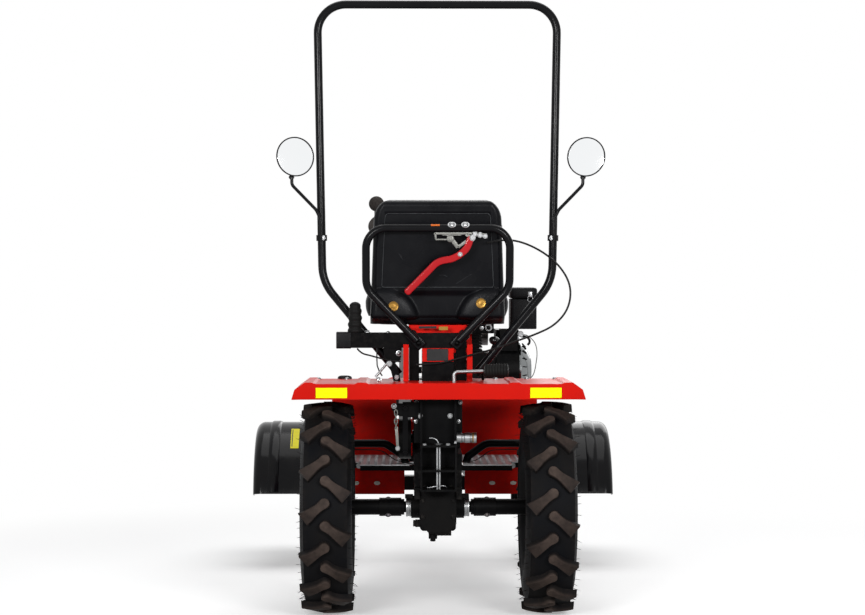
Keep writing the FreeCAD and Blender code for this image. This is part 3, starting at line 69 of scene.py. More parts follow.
# Adds a node, sets its plain values and links the sockets given as (node, output name)
def addNode(tree, kind, values=None, links=None, **settings):
    node = tree.nodes.new(kind)
    for name, value in settings.items():
        setattr(node, name, value)
    for name, value in (values or {}).items():
        node.inputs[name].default_value = value
    for name, (source, output) in (links or {}).items():
        tree.links.new(source.outputs[output], node.inputs[name])
    return node


stageLook = {"floor": (0.90, 0.90, 0.90, 1), "bounce": (0.30, 0.29, 0.28, 1), "lift": 0.35,
             "clearFrom": 1.4, "clearAt": 2.6, "reach": 30, "sink": 0.0005,
             "sky": (0.93, 0.96, 1, 1), "skyStrength": 0.08}


# Seen straight or in a reflection the surroundings are white; as a lamp the sky is only faint
def makeWorld():
    world = bpy.data.worlds.new("studio")
    bpy.context.scene.world = world
    tree = nodeTree(world)
    rays = addNode(tree, "ShaderNodeLightPath")
    seen = addNode(tree, "ShaderNodeMath", operation="MAXIMUM",
                   links={0: (rays, "Is Camera Ray"), 1: (rays, "Is Transmission Ray")})
    shown = addNode(tree, "ShaderNodeMath", operation="MAXIMUM",
                    links={0: (seen, 0), 1: (rays, "Is Glossy Ray")})
    soft = addNode(tree, "ShaderNodeBackground",
                   {"Color": stageLook["sky"], "Strength": stageLook["skyStrength"]})
    plain = addNode(tree, "ShaderNodeBackground", {"Color": (1, 1, 1, 1), "Strength": 1})
    both = addNode(tree, "ShaderNodeMixShader",
                   links={"Fac": (shown, 0), 1: (soft, 0), 2: (plain, 0)})
    addNode(tree, "ShaderNodeOutputWorld", links={"Surface": (both, 0)})


# A matt floor that keeps the shadow near the machine and fades to plain white further out
def makeFloor():
    mesh = bpy.data.meshes.new("floor")
    reach = stageLook["reach"]
    mesh.from_pydata([(-reach, -reach, 0), (reach, -reach, 0), (reach, reach, 0), (-reach, reach, 0)],
                     [], [(0, 1, 2, 3)])
    floor = bpy.data.objects.new("floor", mesh)
    floor.location = (0, 0, -stageLook["sink"])
    bpy.context.scene.collection.objects.link(floor)
    pale = bpy.data.materials.new("pale_floor")
    tree = nodeTree(pale)
    where = addNode(tree, "ShaderNodeTexCoord")
    far = addNode(tree, "ShaderNodeVectorMath", operation="LENGTH", links={0: (where, "Object")})
    fade = addNode(tree, "ShaderNodeMapRange",
                   {"From Min": stageLook["clearFrom"], "From Max": stageLook["clearAt"]},
                   {"Value": (far, "Value")}, interpolation_type="SMOOTHSTEP")
    rays = addNode(tree, "ShaderNodeLightPath")
    seen = addNode(tree, "ShaderNodeMath", operation="MAXIMUM",
                   links={0: (rays, "Is Camera Ray"), 1: (rays, "Is Glossy Ray")})
    away = addNode(tree, "ShaderNodeMath", operation="MULTIPLY", links={0: (seen, 0), 1: (fade, 0)})
    shade = addNode(tree, "ShaderNodeBsdfDiffuse", {"Color": stageLook["bounce"]})
    matt = addNode(tree, "ShaderNodeBsdfDiffuse", {"Color": stageLook["floor"]})
    lift = addNode(tree, "ShaderNodeEmission", {"Color": (1, 1, 1, 1), "Strength": stageLook["lift"]})
    white = addNode(tree, "ShaderNodeEmission", {"Color": (1, 1, 1, 1), "Strength": 1})
    lifted = addNode(tree, "ShaderNodeAddShader", links={0: (matt, 0), 1: (lift, 0)})
    near = addNode(tree, "ShaderNodeMixShader", links={"Fac": (seen, 0), 1: (shade, 0), 2: (lifted, 0)})
    both = addNode(tree, "ShaderNodeMixShader", links={"Fac": (away, 0), 1: (near, 0), 2: (white, 0)})
    addNode(tree, "ShaderNodeOutputMaterial", links={"Surface": (both, 0)})
    mesh.materials.append(pale)


lampLooks = [
    {"name": "left_box", "place": (-2.0, -5.6, 1.9), "size": (1.6, 0.7), "power": 166},
    {"name": "right_box", "place": (2.1, -5.5, 1.85), "size": (1.6, 0.7), "power": 147},
    {"name": "top_box", "place": (0.2, 0.6, 4.2), "size": (3.4, 3.4), "power": 94},
    {"name": "front_box", "place": (1.2, 4.2, 2.4), "size": (3.0, 2.4), "power": 45},
]
lampAim = Vector((0, -0.1, 0.7))


def makeLamps():
    for look in lampLooks:
        lamp = bpy.data.lights.new(look["name"], "AREA")
        lamp.shape = "RECTANGLE"
        lamp.size, lamp.size_y = look["size"]
        lamp.energy = look["power"]
        lampObject = bpy.data.objects.new(look["name"], lamp)
        lampObject.location = look["place"]
        toward = lampAim - lampObject.location
        lampObject.rotation_euler = toward.to_track_quat("-Z", "Y").to_euler()
        bpy.context.scene.collection.objects.link(lampObject)


makeWorld()
makeFloor()
makeLamps()
print("stage ready")


# A node group with named inputs and outputs; each socket is (name, kind, plain value)
def newGroup(name, inputs, outputs):
    group = bpy.data.node_groups.new(name, "ShaderNodeTree")
    for label, kind, value in inputs:
        socket = group.interface.new_socket(label, in_out="INPUT", socket_type=kind)
        socket.default_value = value
    for label, kind in outputs:
        group.interface.new_socket(label, in_out="OUTPUT", socket_type=kind)
    return group, group.nodes.new("NodeGroupInput"), group.nodes.new("NodeGroupOutput")


number, vector = "NodeSocketFloat", "NodeSocketVector"


# Noise at the group's own place and scale
def patternNode(group, start, kind="ShaderNodeTexNoise", **values):
    return addNode(group, kind, {name.capitalize(): value for name, value in values.items()},
                   {"Vector": (start, "Vector"), "Scale": (start, "Scale")})


# Two masks multiplied together and then by the group's amount
def scaledMask(group, start, first, second):
    both = addNode(group, "ShaderNodeMath", operation="MULTIPLY", links={0: (first, 0), 1: (second, 0)})
    return addNode(group, "ShaderNodeMath", operation="MULTIPLY", use_clamp=True,
                   links={0: (both, 0), 1: (start, "Amount")})


def makeMottleGroup():
    group, start, end = newGroup("mottle", [("Vector", vector, (0, 0, 0)), ("Scale", number, 8)],
                                 [("Mask", number)])
    wide = patternNode(group, start, detail=4, roughness=0.6)
    stretch = addNode(group, "ShaderNodeMapRange", {"From Min": 0.3, "From Max": 0.7}, {"Value": (wide, 0)})
    group.links.new(stretch.outputs[0], end.inputs["Mask"])
    return group


def makeGrainGroup():
    group, start, end = newGroup("grain", [("Vector", vector, (0, 0, 0)), ("Scale", number, 400),
                                           ("Pits", number, 0.5)], [("Height", number)])
    fine = patternNode(group, start, detail=2, roughness=0.5)
    cells = patternNode(group, start, "ShaderNodeTexVoronoi")
    mixed = addNode(group, "ShaderNodeMix", links={"Factor": (start, "Pits"), 2: (fine, 0), 3: (cells, "Distance")})
    group.links.new(mixed.outputs[0], end.inputs["Height"])
    return group


# Dust lies on faces that look up, in soft patches
def makeDustGroup():
    group, start, end = newGroup("dust", [("Vector", vector, (0, 0, 0)), ("Scale", number, 12),
                                          ("Amount", number, 0.3)], [("Mask", number)])
    facing = addNode(group, "ShaderNodeNewGeometry")
    split = addNode(group, "ShaderNodeSeparateXYZ", links={0: (facing, "Normal")})
    up = addNode(group, "ShaderNodeMapRange", {"From Min": -0.2, "From Max": 1, "To Min": 0.15},
                 {"Value": (split, "Z")})
    patches = patternNode(group, start, detail=6, roughness=0.65)
    soft = addNode(group, "ShaderNodeMapRange", {"From Min": 0.35, "From Max": 0.75}, {"Value": (patches, 0)})
    group.links.new(scaledMask(group, start, up, soft).outputs[0], end.inputs["Mask"])
    return group


# Wear shows where the surface is sharply convex, broken up by noise
def makeWearGroup():
    group, start, end = newGroup("edge_wear", [("Vector", vector, (0, 0, 0)), ("Scale", number, 60),
                                               ("Amount", number, 0.5)], [("Mask", number)])
    shape = addNode(group, "ShaderNodeNewGeometry")
    sharp = addNode(group, "ShaderNodeMapRange", {"From Min": 0.52, "From Max": 0.62},
                    {"Value": (shape, "Pointiness")})
    broken = patternNode(group, start, detail=5, roughness=0.7)
    gaps = addNode(group, "ShaderNodeMapRange", {"From Min": 0.45, "From Max": 0.65}, {"Value": (broken, 0)})
    group.links.new(scaledMask(group, start, sharp, gaps).outputs[0], end.inputs["Mask"])
    return group


mottleGroup = makeMottleGroup()
grainGroup = makeGrainGroup()
dustGroup = makeDustGroup()
wearGroup = makeWearGroup()

# What each finish is like: colour and roughness run from their first to their second value over the
# mottling; grain is (scale, strength, share of pits); bare is the tone that wear brings out
finishLooks = {
    "red_enamel": {"slot": "red_paint", "colour": (0.64, 0.011, 0.006), "other": (0.57, 0.009, 0.005),
                   "rough": (0.26, 0.36), "gloss": 0.04, "grain": (260, 0.05, 0.0), "dust": 0.018, "wear": 0.25,
                   "bare": (0.20, 0.02, 0.018)},
    "black_powder": {"slot": "black_paint", "colour": (0.0016, 0.0016, 0.002), "other": (0.003, 0.003, 0.0034),
                     "rough": (0.26, 0.40), "gloss": 0.04, "grain": (900, 0.10, 0.2), "dust": 0.01, "wear": 0.1,
                     "bare": (0.05, 0.045, 0.04)},
    "black_tube": {"slot": "black_paint", "colour": (0.004, 0.004, 0.005), "other": (0.006, 0.006, 0.007),
                   "rough": (0.14, 0.24), "gloss": 0.09, "grain": (320, 0.05, 0.0), "dust": 0.004, "wear": 0.08,
                   "bare": (0.08, 0.075, 0.07)},
    "arch_moulding": {"slot": "gloss_black", "colour": (0.004, 0.004, 0.005), "other": (0.006, 0.006, 0.007),
                      "rough": (0.10, 0.20), "gloss": 0.1, "grain": (180, 0.06, 0.0), "dust": 0.012},
    "cast_black": {"slot": "cast_iron", "colour": (0.002, 0.002, 0.0024), "other": (0.005, 0.0047, 0.0047),
                   "rough": (0.42, 0.60), "gloss": 0.04, "grain": (420, 0.35, 0.6), "dust": 0.018, "wear": 0.25,
                   "bare": (0.1, 0.09, 0.08)},
    "shroud_black": {"slot": "engine_alloy", "colour": (0.003, 0.003, 0.0034), "other": (0.006, 0.006, 0.006),
                     "rough": (0.30, 0.42), "gloss": 0.05, "grain": (600, 0.1, 0.3), "dust": 0.008,
                     "wear": 0.08, "bare": (0.1, 0.1, 0.1)},
    "silver_cover": {"slot": "silver_paint", "colour": (0.45, 0.45, 0.45), "other": (0.36, 0.36, 0.36),
                     "rough": (0.22, 0.32), "metal": 0.75, "grain": (500, 0.06, 0.1), "dust": 0.015,
                     "wear": 0.2, "bare": (0.3, 0.3, 0.3)},
    "zinc_plate": {"slot": "zinc", "colour": (0.34, 0.345, 0.35), "other": (0.23, 0.235, 0.24),
                   "rough": (0.24, 0.40), "metal": 1.0, "grain": (1200, 0.10, 0.3), "dust": 0.012},
    "grey_pressing": {"slot": "zinc", "colour": (0.15, 0.15, 0.14), "other": (0.11, 0.11, 0.10),
                      "rough": (0.38, 0.50), "metal": 0.8, "grain": (900, 0.12, 0.3), "dust": 0.015,
                      "wear": 0.2, "bare": (0.5, 0.5, 0.5)},
    "pale_cap": {"slot": "zinc", "colour": (0.90, 0.87, 0.80), "other": (0.80, 0.77, 0.70),
                 "rough": (0.30, 0.42), "grain": (700, 0.05, 0.2), "dust": 0.02},
    "hot_steel": {"slot": "muffler_steel", "colour": (0.20, 0.17, 0.14), "other": (0.10, 0.10, 0.13),
                  "rough": (0.35, 0.55), "metal": 0.9, "grain": (500, 0.2, 0.5), "dust": 0.022, "wear": 0.3,
                  "bare": (0.3, 0.28, 0.26)},
    "plate_metal": {"slot": "chequer_plate", "colour": (0.42, 0.42, 0.43), "other": (0.30, 0.30, 0.31),
                    "rough": (0.28, 0.42), "metal": 0.9, "grain": (900, 0.1, 0.3), "dust": 0.037, "wear": 0.2,
                    "bare": (0.6, 0.6, 0.6)},
    "moulded_black": {"slot": "black_plastic", "colour": (0.0045, 0.0045, 0.0055),
                      "other": (0.008, 0.008, 0.009), "rough": (0.36, 0.48), "gloss": 0.08,
                      "grain": (1600, 0.18, 0.6), "dust": 0.008, "wear": 0.15, "bare": (0.05, 0.05, 0.05)},
    "shell_black": {"slot": "black_plastic", "colour": (0.003, 0.0032, 0.0045),
                    "other": (0.0055, 0.0058, 0.0072), "rough": (0.22, 0.36), "gloss": 0.08,
                    "grain": (1300, 0.14, 0.5), "dust": 0.01, "wear": 0.1, "bare": (0.06, 0.06, 0.06)},
    "soft_rubber": {"slot": "rubber", "colour": (0.007, 0.007, 0.007), "other": (0.012, 0.012, 0.012),
                    "rough": (0.48, 0.62), "gloss": 0.06, "grain": (900, 0.12, 0.4), "dust": 0.018},
    "cable_skin": {"slot": "cable_jacket", "colour": (0.006, 0.006, 0.006), "other": (0.009, 0.009, 0.009),
                   "rough": (0.30, 0.42), "gloss": 0.1, "grain": (1500, 0.08, 0.2), "dust": 0.008},
    "grained_vinyl": {"slot": "seat_vinyl", "colour": (0.006, 0.006, 0.0065), "other": (0.009, 0.009, 0.01),
                      "rough": (0.34, 0.46), "gloss": 0.1, "grain": (520, 0.30, 0.9), "dust": 0.009,
                      "wear": 0.1, "bare": (0.05, 0.05, 0.05)},
    "tyre_rubber": {"slot": "tyre", "colour": (0.0045, 0.005, 0.0065), "other": (0.008, 0.0075, 0.0075),
                    "raised": (0.085, 0.062, 0.052), "rough": (0.50, 0.68), "gloss": 0.03,
                    "grain": (500, 0.25, 0.3), "dust": 0.012, "wear": 0.3, "bare": (0.055, 0.042, 0.034)},
    "reflector_yellow": {"slot": "reflector", "colour": (0.92, 0.98, 0.0), "other": (0.86, 0.94, 0.0),
                         "rough": (0.10, 0.18), "grain": (330, 0.15, 1.0), "dust": 0.004},
    "label_yellow": {"slot": "reflector", "colour": (0.85, 0.78, 0.01), "other": (0.78, 0.70, 0.01),
                     "rough": (0.30, 0.40), "grain": (900, 0.05, 0.2), "dust": 0.015, "wear": 0.2,
                     "bare": (0.3, 0.28, 0.1)},
    "badge_amber": {"slot": "reflector", "colour": (0.36, 0.20, 0.03), "other": (0.16, 0.08, 0.02),
                    "rough": (0.22, 0.34), "metal": 0.6, "grain": (700, 0.1, 0.3), "dust": 0.015, "wear": 0.3,
                    "bare": (0.2, 0.15, 0.1)},
    "label_black": {"slot": "gloss_black", "colour": (0.018, 0.018, 0.019), "other": (0.026, 0.026, 0.027),
                    "rough": (0.28, 0.36), "grain": (900, 0.04, 0.2), "dust": 0.015, "wear": 0.1,
                    "bare": (0.1, 0.1, 0.1)},
    "mirror_silver": {"slot": "mirror_glass", "colour": (0.90, 0.91, 0.92), "other": (0.88, 0.90, 0.91),
                      "rough": (0.02, 0.05), "metal": 1.0, "grain": (40, 0.0, 0.0), "dust": 0.006},
    "red_gloss": {"slot": "red_paint", "colour": (0.47, 0.009, 0.014), "other": (0.42, 0.008, 0.012),
                  "rough": (0.14, 0.22), "gloss": 0.2, "grain": (260, 0.03, 0.0), "dust": 0.01, "wear": 0.1,
                  "bare": (0.25, 0.02, 0.02)},
    "bright_cover": {"slot": "silver_paint", "colour": (0.25, 0.26, 0.26), "other": (0.16, 0.17, 0.18),
                     "rough": (0.12, 0.22), "metal": 1.0, "grain": (500, 0.05, 0.1), "dust": 0.015, "wear": 0.2,
                     "bare": (0.3, 0.3, 0.3)},
    "knob_gloss": {"slot": "black_plastic", "colour": (0.006, 0.006, 0.007), "other": (0.01, 0.01, 0.01),
                   "rough": (0.16, 0.26), "gloss": 0.5, "grain": (700, 0.04, 0.2), "dust": 0.012, "wear": 0.1,
                   "bare": (0.05, 0.05, 0.05)},
    "foam_grip": {"slot": "black_plastic", "colour": (0.022, 0.019, 0.018), "other": (0.05, 0.043, 0.04),
                  "rough": (0.75, 0.9), "gloss": 0.1, "patch": 160, "grain": (700, 0.6, 0.8), "dust": 0.05,
                  "wear": 0.1, "bare": (0.1, 0.09, 0.08)},
    # light grey: a painted highlight on the seat panel's bead, and the tone of the thin scratch lines
    "scratch_and_highlight_grey": {"slot": "black_plastic", "colour": (0.07, 0.075, 0.08), "other": (0.03, 0.032, 0.035),
                  "rough": (0.4, 0.5), "gloss": 0.1, "patch": 30, "grain": (700, 0.1, 0.2), "dust": 0.0},
    "mark_orange": {"slot": "reflector", "colour": (0.75, 0.16, 0.01), "other": (0.62, 0.12, 0.01),
                    "rough": (0.35, 0.45), "grain": (900, 0.05, 0.2), "dust": 0.02, "wear": 0.2,
                    "bare": (0.3, 0.1, 0.02)},
    "lens_clear": {"slot": "lamp_shell", "colour": (0.55, 0.57, 0.58), "other": (0.48, 0.50, 0.52),
                   "rough": (0.05, 0.10), "gloss": 0.6, "coat": 0.3, "grain": (220, 0.25, 1.0), "dust": 0.02},
    "lamp_body": {"slot": "lamp_shell", "colour": (0.012, 0.012, 0.012), "other": (0.018, 0.018, 0.018),
                  "rough": (0.18, 0.28), "grain": (500, 0.05, 0.1), "dust": 0.015, "wear": 0.1,
                  "bare": (0.1, 0.1, 0.1)},
}

# What a finish has unless it says otherwise, and what all of them share
commonLook = {"patch": 7, "metal": 0.0, "gloss": 0.15, "coat": 0.0, "coatRough": 0.08, "reliefDeep": 0.001,
              "wear": 0.0, "dustScale": 14, "dustTone": (0.33, 0.28, 0.22), "dustRough": 0.5, "wearScale": 70,
              "topsScale": 45, "topsLeast": 0.45}


# Colour runs between two tones, dust and bare metal lie over it, and fine grain gives the relief
def makeFinish(name, look):
    look = {**commonLook, **look}
    material = bpy.data.materials.new(name)
    tree = nodeTree(material)
    where = addNode(tree, "ShaderNodeTexCoord")

    def effect(group, **values):
        return addNode(tree, "ShaderNodeGroup", values, {"Vector": (where, "Object")}, node_tree=group)

    # inputs 6 and 7 and output 2 are the mix node's colour sockets; a tone is three numbers or a (node, output)
    def blendColours(mask, first, second):
        mix = addNode(tree, "ShaderNodeMix", data_type="RGBA", links={"Factor": mask})
        for socket, tone in ((6, first), (7, second)):
            if isinstance(tone[0], float):
                mix.inputs[socket].default_value = (*tone, 1)
            else:
                tree.links.new(tone[0].outputs[tone[1]], mix.inputs[socket])
        return (mix, 2)

    grainScale, grainHigh, pits = look["grain"]
    mottle = effect(mottleGroup, Scale=look["patch"])
    dust = effect(dustGroup, Scale=look["dustScale"], Amount=look["dust"])
    grain = effect(grainGroup, Scale=grainScale, Pits=pits)
    colour = blendColours((mottle, 0), look["colour"], look["other"])
    if "raised" in look:
        # the tread's lug tops carry dry brown dust in patches
        tops = addNode(tree, "ShaderNodeAttribute", attribute_name="raised")
        patches = effect(mottleGroup, Scale=look["topsScale"])
        share = addNode(tree, "ShaderNodeMapRange", {"To Min": look["topsLeast"], "To Max": 1.0},
                        {"Value": (patches, 0)})
        dry = addNode(tree, "ShaderNodeMath", operation="MULTIPLY", links={0: (tops, "Fac"), 1: (share, 0)})
        colour = blendColours((dry, 0), colour, look["raised"])
    if look["wear"]:
        wear = effect(wearGroup, Scale=look["wearScale"], Amount=look["wear"])
        colour = blendColours((wear, 0), colour, look["bare"])
    colour = blendColours((dust, 0), colour, look["dustTone"])
    low, high = look["rough"]
    rough = addNode(tree, "ShaderNodeMapRange", {"To Min": low, "To Max": high}, {"Value": (mottle, 0)})
    dusty = addNode(tree, "ShaderNodeMath", operation="MULTIPLY_ADD", use_clamp=True,
                    values={1: look["dustRough"]}, links={0: (dust, 0), 2: (rough, 0)})
    shader = addNode(tree, "ShaderNodeBsdfPrincipled",
                     {"Metallic": look["metal"], "Coat Weight": look["coat"], "Coat Roughness": look["coatRough"],
                      "Specular IOR Level": look["gloss"]},
                     {"Base Color": colour, "Roughness": (dusty, 0)})
    if grainHigh:
        relief = addNode(tree, "ShaderNodeBump", {"Strength": grainHigh, "Distance": look["reliefDeep"]},
                         {"Height": (grain, 0)})
        tree.links.new(relief.outputs[0], shader.inputs["Normal"])
    addNode(tree, "ShaderNodeOutputMaterial", links={"Surface": (shader, 0)})
    return material


finishes = {name: makeFinish(name, look) for name, look in finishLooks.items()}
print("finishes ready")


cableLooks = {
    "brake_cable": {"node": "brake_cable", "length": 0.881, "radius": 0.003,
                    "route": [(147, -70.3, 1122), (188, -56, 1131), (245, -50, 1128), (312, -54, 1098),
                              (368, -61, 1052), (401, -67, 992), (394, -70, 925), (352, -71, 874),
                              (292, -71.5, 846), (222, -71, 822), (158, -71, 799), (98, -71, 785),
                              (40, -70.5, 768), (-10, -70.4, 757), (-66, -70.4, 756)]},
    "lever_cable": {"node": "lever_cable", "length": 0.148, "radius": 0.0025,
                    "route": [(-243, -8, 801), (-232, -24, 788), (-205, -34, 782), (-172, -36, 773),
                              (-142, -34, 766), (-112, -28, 763)]},
}


# A smooth line drawn by its control points, which are measured in mm from under the rear axle
def makeCable(name, look):
    points = [(x / 1000, rearY + y / 1000, z / 1000) for x, y, z in look["route"]]
    curve = bpy.data.curves.new(name + "_jacket", "CURVE")
    curve.dimensions = "3D"
    line = curve.splines.new("NURBS")
    line.points.add(len(points) - 1)
    for point, place in zip(line.points, points):
        point.co = (*place, 1)
    line.use_endpoint_u = True
    line.order_u = 3
    line.resolution_u = 12
    curve.bevel_depth = look["radius"]
    curve.bevel_resolution = 4
    curve.use_fill_caps = True
    curve.materials.append(finishes["cable_skin"])
    jacket = bpy.data.objects.new(name + "_jacket", curve)
    bpy.context.scene.collection.objects.link(jacket)
    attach(jacket, "chassis")
    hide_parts(look["node"])


for cableName, cableLook in cableLooks.items():
    makeCable(cableName, cableLook)
print("cords laid")


# Millimetres from under the rear axle to metres in the scene
def fromRear(x, y, z):
    return np.stack(np.broadcast_arrays(x / 1000, rearY + y / 1000, z / 1000), -1)


# Quads between neighbouring points of a grid, which may close on itself either way
def gridFaces(rows, cols, rowsClosed, colsClosed):
    row, col = np.meshgrid(np.arange(rows if rowsClosed else rows - 1),
                           np.arange(cols if colsClosed else cols - 1), indexing="ij")
    nextRow, nextCol = (row + 1) % rows, (col + 1) % cols
    corners = [row * cols + col, row * cols + nextCol, nextRow * cols + nextCol, nextRow * cols + col]
    return np.stack(corners, -1).reshape(-1, 4)


# points[i, j] is point j on ring i; open ends of a tube are closed by a fan round each end ring's middle
def gridShape(points, rowsClosed=False, colsClosed=True):
    points = np.asarray(points, float)
    rows, cols = points.shape[:2]
    faces = [gridFaces(rows, cols, rowsClosed, colsClosed)]
    flat = points.reshape(-1, 3)
    if colsClosed and not rowsClosed:
        here = np.arange(cols)
        after = (here + 1) % cols
        last = (rows - 1) * cols
        middle = np.full(cols, rows * cols)
        faces.append(np.stack([after, here, middle], -1))
        faces.append(np.stack([last + here, last + after, middle + 1], -1))
        flat = np.vstack([flat, points[0].mean(0), points[-1].mean(0)])
    return flat, faces


def joinShapes(shapes):
    points, faces, count = [], [], 0
    for flat, groups in shapes:
        points.append(flat)
        faces += [group + count for group in groups]
        count += len(flat)
    return np.vstack(points), faces


def unit(direction):
    direction = np.asarray(direction, float)
    return direction / np.linalg.norm(direction, axis=-1, keepdims=True)


# Two directions square to an axis and to each other
def squareTo(axis):
    axis = unit(axis)
    guide = np.array([0.0, 0, 1]) if abs(axis[2]) < 0.9 else np.array([0.0, 1, 0])
    first = unit(np.cross(guide, axis))
    return first, np.cross(axis, first)


# A profile of (along, out) pairs turned about an axis:
# point = base + along * axis + out * (cos a * first + sin a * second), with out scaled by edge(a) if given
def lathe(profile, base, axis, count=32, closed=False, edge=None):
    profile = np.asarray(profile, float)
    first, second = squareTo(axis)
    angle = np.arange(count) * 2 * math.pi / count
    out = profile[:, 1:2] * (np.ones(count) if edge is None else edge(angle))
    around = np.cos(angle)[:, None] * first + np.sin(angle)[:, None] * second
    points = np.asarray(base, float) + profile[:, None, 0:1] * unit(axis) + out[..., None] * around
    return gridShape(points, rowsClosed=closed)


# A closed outline carried along a path: point = path + u * side + v * lift, with side and lift square to the path
def sweep(outline, path, up=(0, 0, 1), closed=False, swell=None):
    outline, path = np.asarray(outline, float), np.asarray(path, float)
    if closed:
        tangent = np.roll(path, -1, 0) - np.roll(path, 1, 0)
    else:
        tangent = np.gradient(path, axis=0)
    tangent = unit(tangent)
    side = unit(np.cross(tangent, np.broadcast_to(up, tangent.shape)))
    lift = np.cross(side, tangent)
    size = np.ones(len(path)) if swell is None else np.asarray(swell, float)
    points = path[:, None] + size[:, None, None] * (outline[None, :, 0:1] * side[:, None]
                                                    + outline[None, :, 1:2] * lift[:, None])
    return gridShape(points, rowsClosed=closed)


def circle(radius, count):
    angle = np.arange(count) * 2 * math.pi / count
    return np.stack([np.cos(angle), np.sin(angle)], -1) * radius


# A rectangle whose corners are rounded: four quarter turns about the corners' centres
def roundedOutline(wide, high, corner, steps=5):
    quarter = np.linspace(0, math.pi / 2, steps)
    spots = []
    for index, (sx, sy) in enumerate(((1, 1), (-1, 1), (-1, -1), (1, -1))):
        angle = quarter + index * math.pi / 2
        centre = np.array([sx * (wide / 2 - corner), sy * (high / 2 - corner)])
        spots.append(centre + corner * np.stack([np.cos(angle), np.sin(angle)], -1))
    return np.vstack(spots)


# A straight bar with rounded corners whose two ends are drawn in by a quarter turn of radius soft
def softBar(start, end, wide, high, corner, soft, up=(0, 0, 1)):
    start, end = np.asarray(start, float), np.asarray(end, float)
    along = unit(end - start)
    quarter = np.linspace(0, math.pi / 2, 4)
    inset = soft * (1 - np.sin(quarter))
    depth = soft * (1 - np.cos(quarter))
    rings = [(start + along * d, i) for d, i in zip(depth, inset)]
    rings += [(end - along * d, i) for d, i in zip(depth[::-1], inset[::-1])]
    side = unit(np.cross(along, up))
    lift = np.cross(side, along)
    points = []
    for place, i in rings:
        outline = roundedOutline(wide - 2 * i, high - 2 * i, max(corner - i, 0.0002))
        points.append(place + outline[:, 0:1] * side + outline[:, 1:2] * lift)
    return gridShape(np.array(points))


# A plain box between two opposite corners
def brick(corner, other):
    corner, other = fromRear(*corner), fromRear(*other)
    low, high = np.minimum(corner, other), np.maximum(corner, other)
    pick = np.array([[x, y, z] for x in (0, 1) for y in (0, 1) for z in (0, 1)])
    faces = np.array([[0, 1, 3, 2], [4, 6, 7, 5], [0, 4, 5, 1], [2, 3, 7, 6], [0, 2, 6, 4], [1, 5, 7, 3]])
    return low + pick * (high - low), [faces]


# A flat outline of (x, z) corners at one depth, pushed forward by a thickness
def plateShape(outline, depth, thick):
    outline = np.array([fromRear(x, depth, z) for x, z in outline])
    return gridShape(np.stack([outline, outline + np.array([0, thick / 1000, 0])]))


# Runs from 0 at start to 1 at end, level at both: t * t * (3 - 2 * t)
def smooth(value, start, end):
    t = np.clip((value - start) / (end - start), 0, 1)
    return t * t * (3 - 2 * t)


# A bell round nought: exp(-(distance / width) squared)
def gauss(distance, width):
    return np.exp(-(distance / width) ** 2)


# A smooth line through points: each stretch is the cubic whose slopes come from the neighbouring points
def bend(points, steps=6):
    points = np.asarray(points, float)
    padded = np.vstack([2 * points[0] - points[1], points, 2 * points[-1] - points[-2]])
    a, b, c, d = (padded[i:len(padded) - 3 + i, None] for i in range(4))
    t = (np.arange(steps) / steps)[None, :, None]
    line = b + 0.5 * t * (c - a + t * (2 * a - 5 * b + 4 * c - d + t * (3 * (b - c) + d - a)))
    return np.vstack([line.reshape(-1, 3), points[-1]])


# A round wire bent through points in mm from under the rear axle
def wireShape(route, radius, count=8):
    path = bend([fromRear(*place) for place in route])
    lean = np.abs(unit(np.diff(path, axis=0))).max(0)
    return sweep(circle(radius / 1000, count), path, np.eye(3)[np.argmin(lean)])


# A shape turned about an axis, given in mm
def turned(profile, at, axis, count=32, closed=False, edge=None):
    return lathe(np.asarray(profile, float) / 1000, fromRear(*at), axis, count, closed, edge)


# A soft bar given in mm
def barShape(start, end, wide, high, corner, soft, up=(0, 0, 1)):
    return softBar(fromRear(*start), fromRear(*end), wide / 1000, high / 1000, corner / 1000, soft / 1000, up)


# A washer under a hexagon head: the hexagon's radius is flat / cos of the angle from the nearest flat's middle
def boltHead(at, axis, across, kind):
    wing, flat, count = across * 0.72, across / 2, 24
    if kind == "dome":
        profile = [(-0.001, wing), (0.0012, wing), (0.0016, across * 0.52), (across * 0.22, across * 0.50),
                   (across * 0.36, across * 0.38), (across * 0.44, across * 0.20), (across * 0.46, 0.0002)]
        return lathe(profile, at, axis, count)
    washer = lathe([(-0.001, wing), (0.001, wing), (0.0015, wing * 0.94), (0.0015, 0.0002)], at, axis, count)

    def edge(angle):
        return 1 / np.cos((angle + math.pi / 6) % (math.pi / 3) - math.pi / 6)
    head = lathe([(0.0, flat), (across * 0.44, flat), (across * 0.52, flat * 0.90), (across * 0.52, 0.0002)],
                 at, axis, count, edge=edge)
    return joinShapes([washer, head])


# Puts a shape in a mesh of its own, riding on a body
def makePiece(name, shape, finish, body="chassis", sharp=32, bevel=0.0, bevelSteps=2, replaces=(),
              weld=True, marks=None):
    points, faces = shape
    mesh = bpy.data.meshes.new(name)
    mesh.from_pydata(points.tolist(), [], [face for group in faces for face in group.tolist()])
    tool = bmesh.new()
    tool.from_mesh(mesh)
    if weld:
        bmesh.ops.remove_doubles(tool, verts=tool.verts, dist=0.00002)
    bmesh.ops.recalc_face_normals(tool, faces=tool.faces)
    tool.to_mesh(mesh)
    tool.free()
    mesh.shade_smooth()
    mesh.set_sharp_from_angle(angle=math.radians(sharp))
    mesh.materials.append(finishes[finish])
    if marks is not None:
        mesh.attributes.new("raised", "FLOAT", "POINT").data.foreach_set("value", marks)
    piece = bpy.data.objects.new(name, mesh)
    bpy.context.scene.collection.objects.link(piece)
    if bevel:
        edgeRound = piece.modifiers.new("edge_round", "BEVEL")
        edgeRound.width = bevel
        edgeRound.segments = bevelSteps
        edgeRound.limit_method = "ANGLE"
        edgeRound.angle_limit = math.radians(sharp)
    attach(piece, body)
    if replaces:
        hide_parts(*replaces)
    return piece


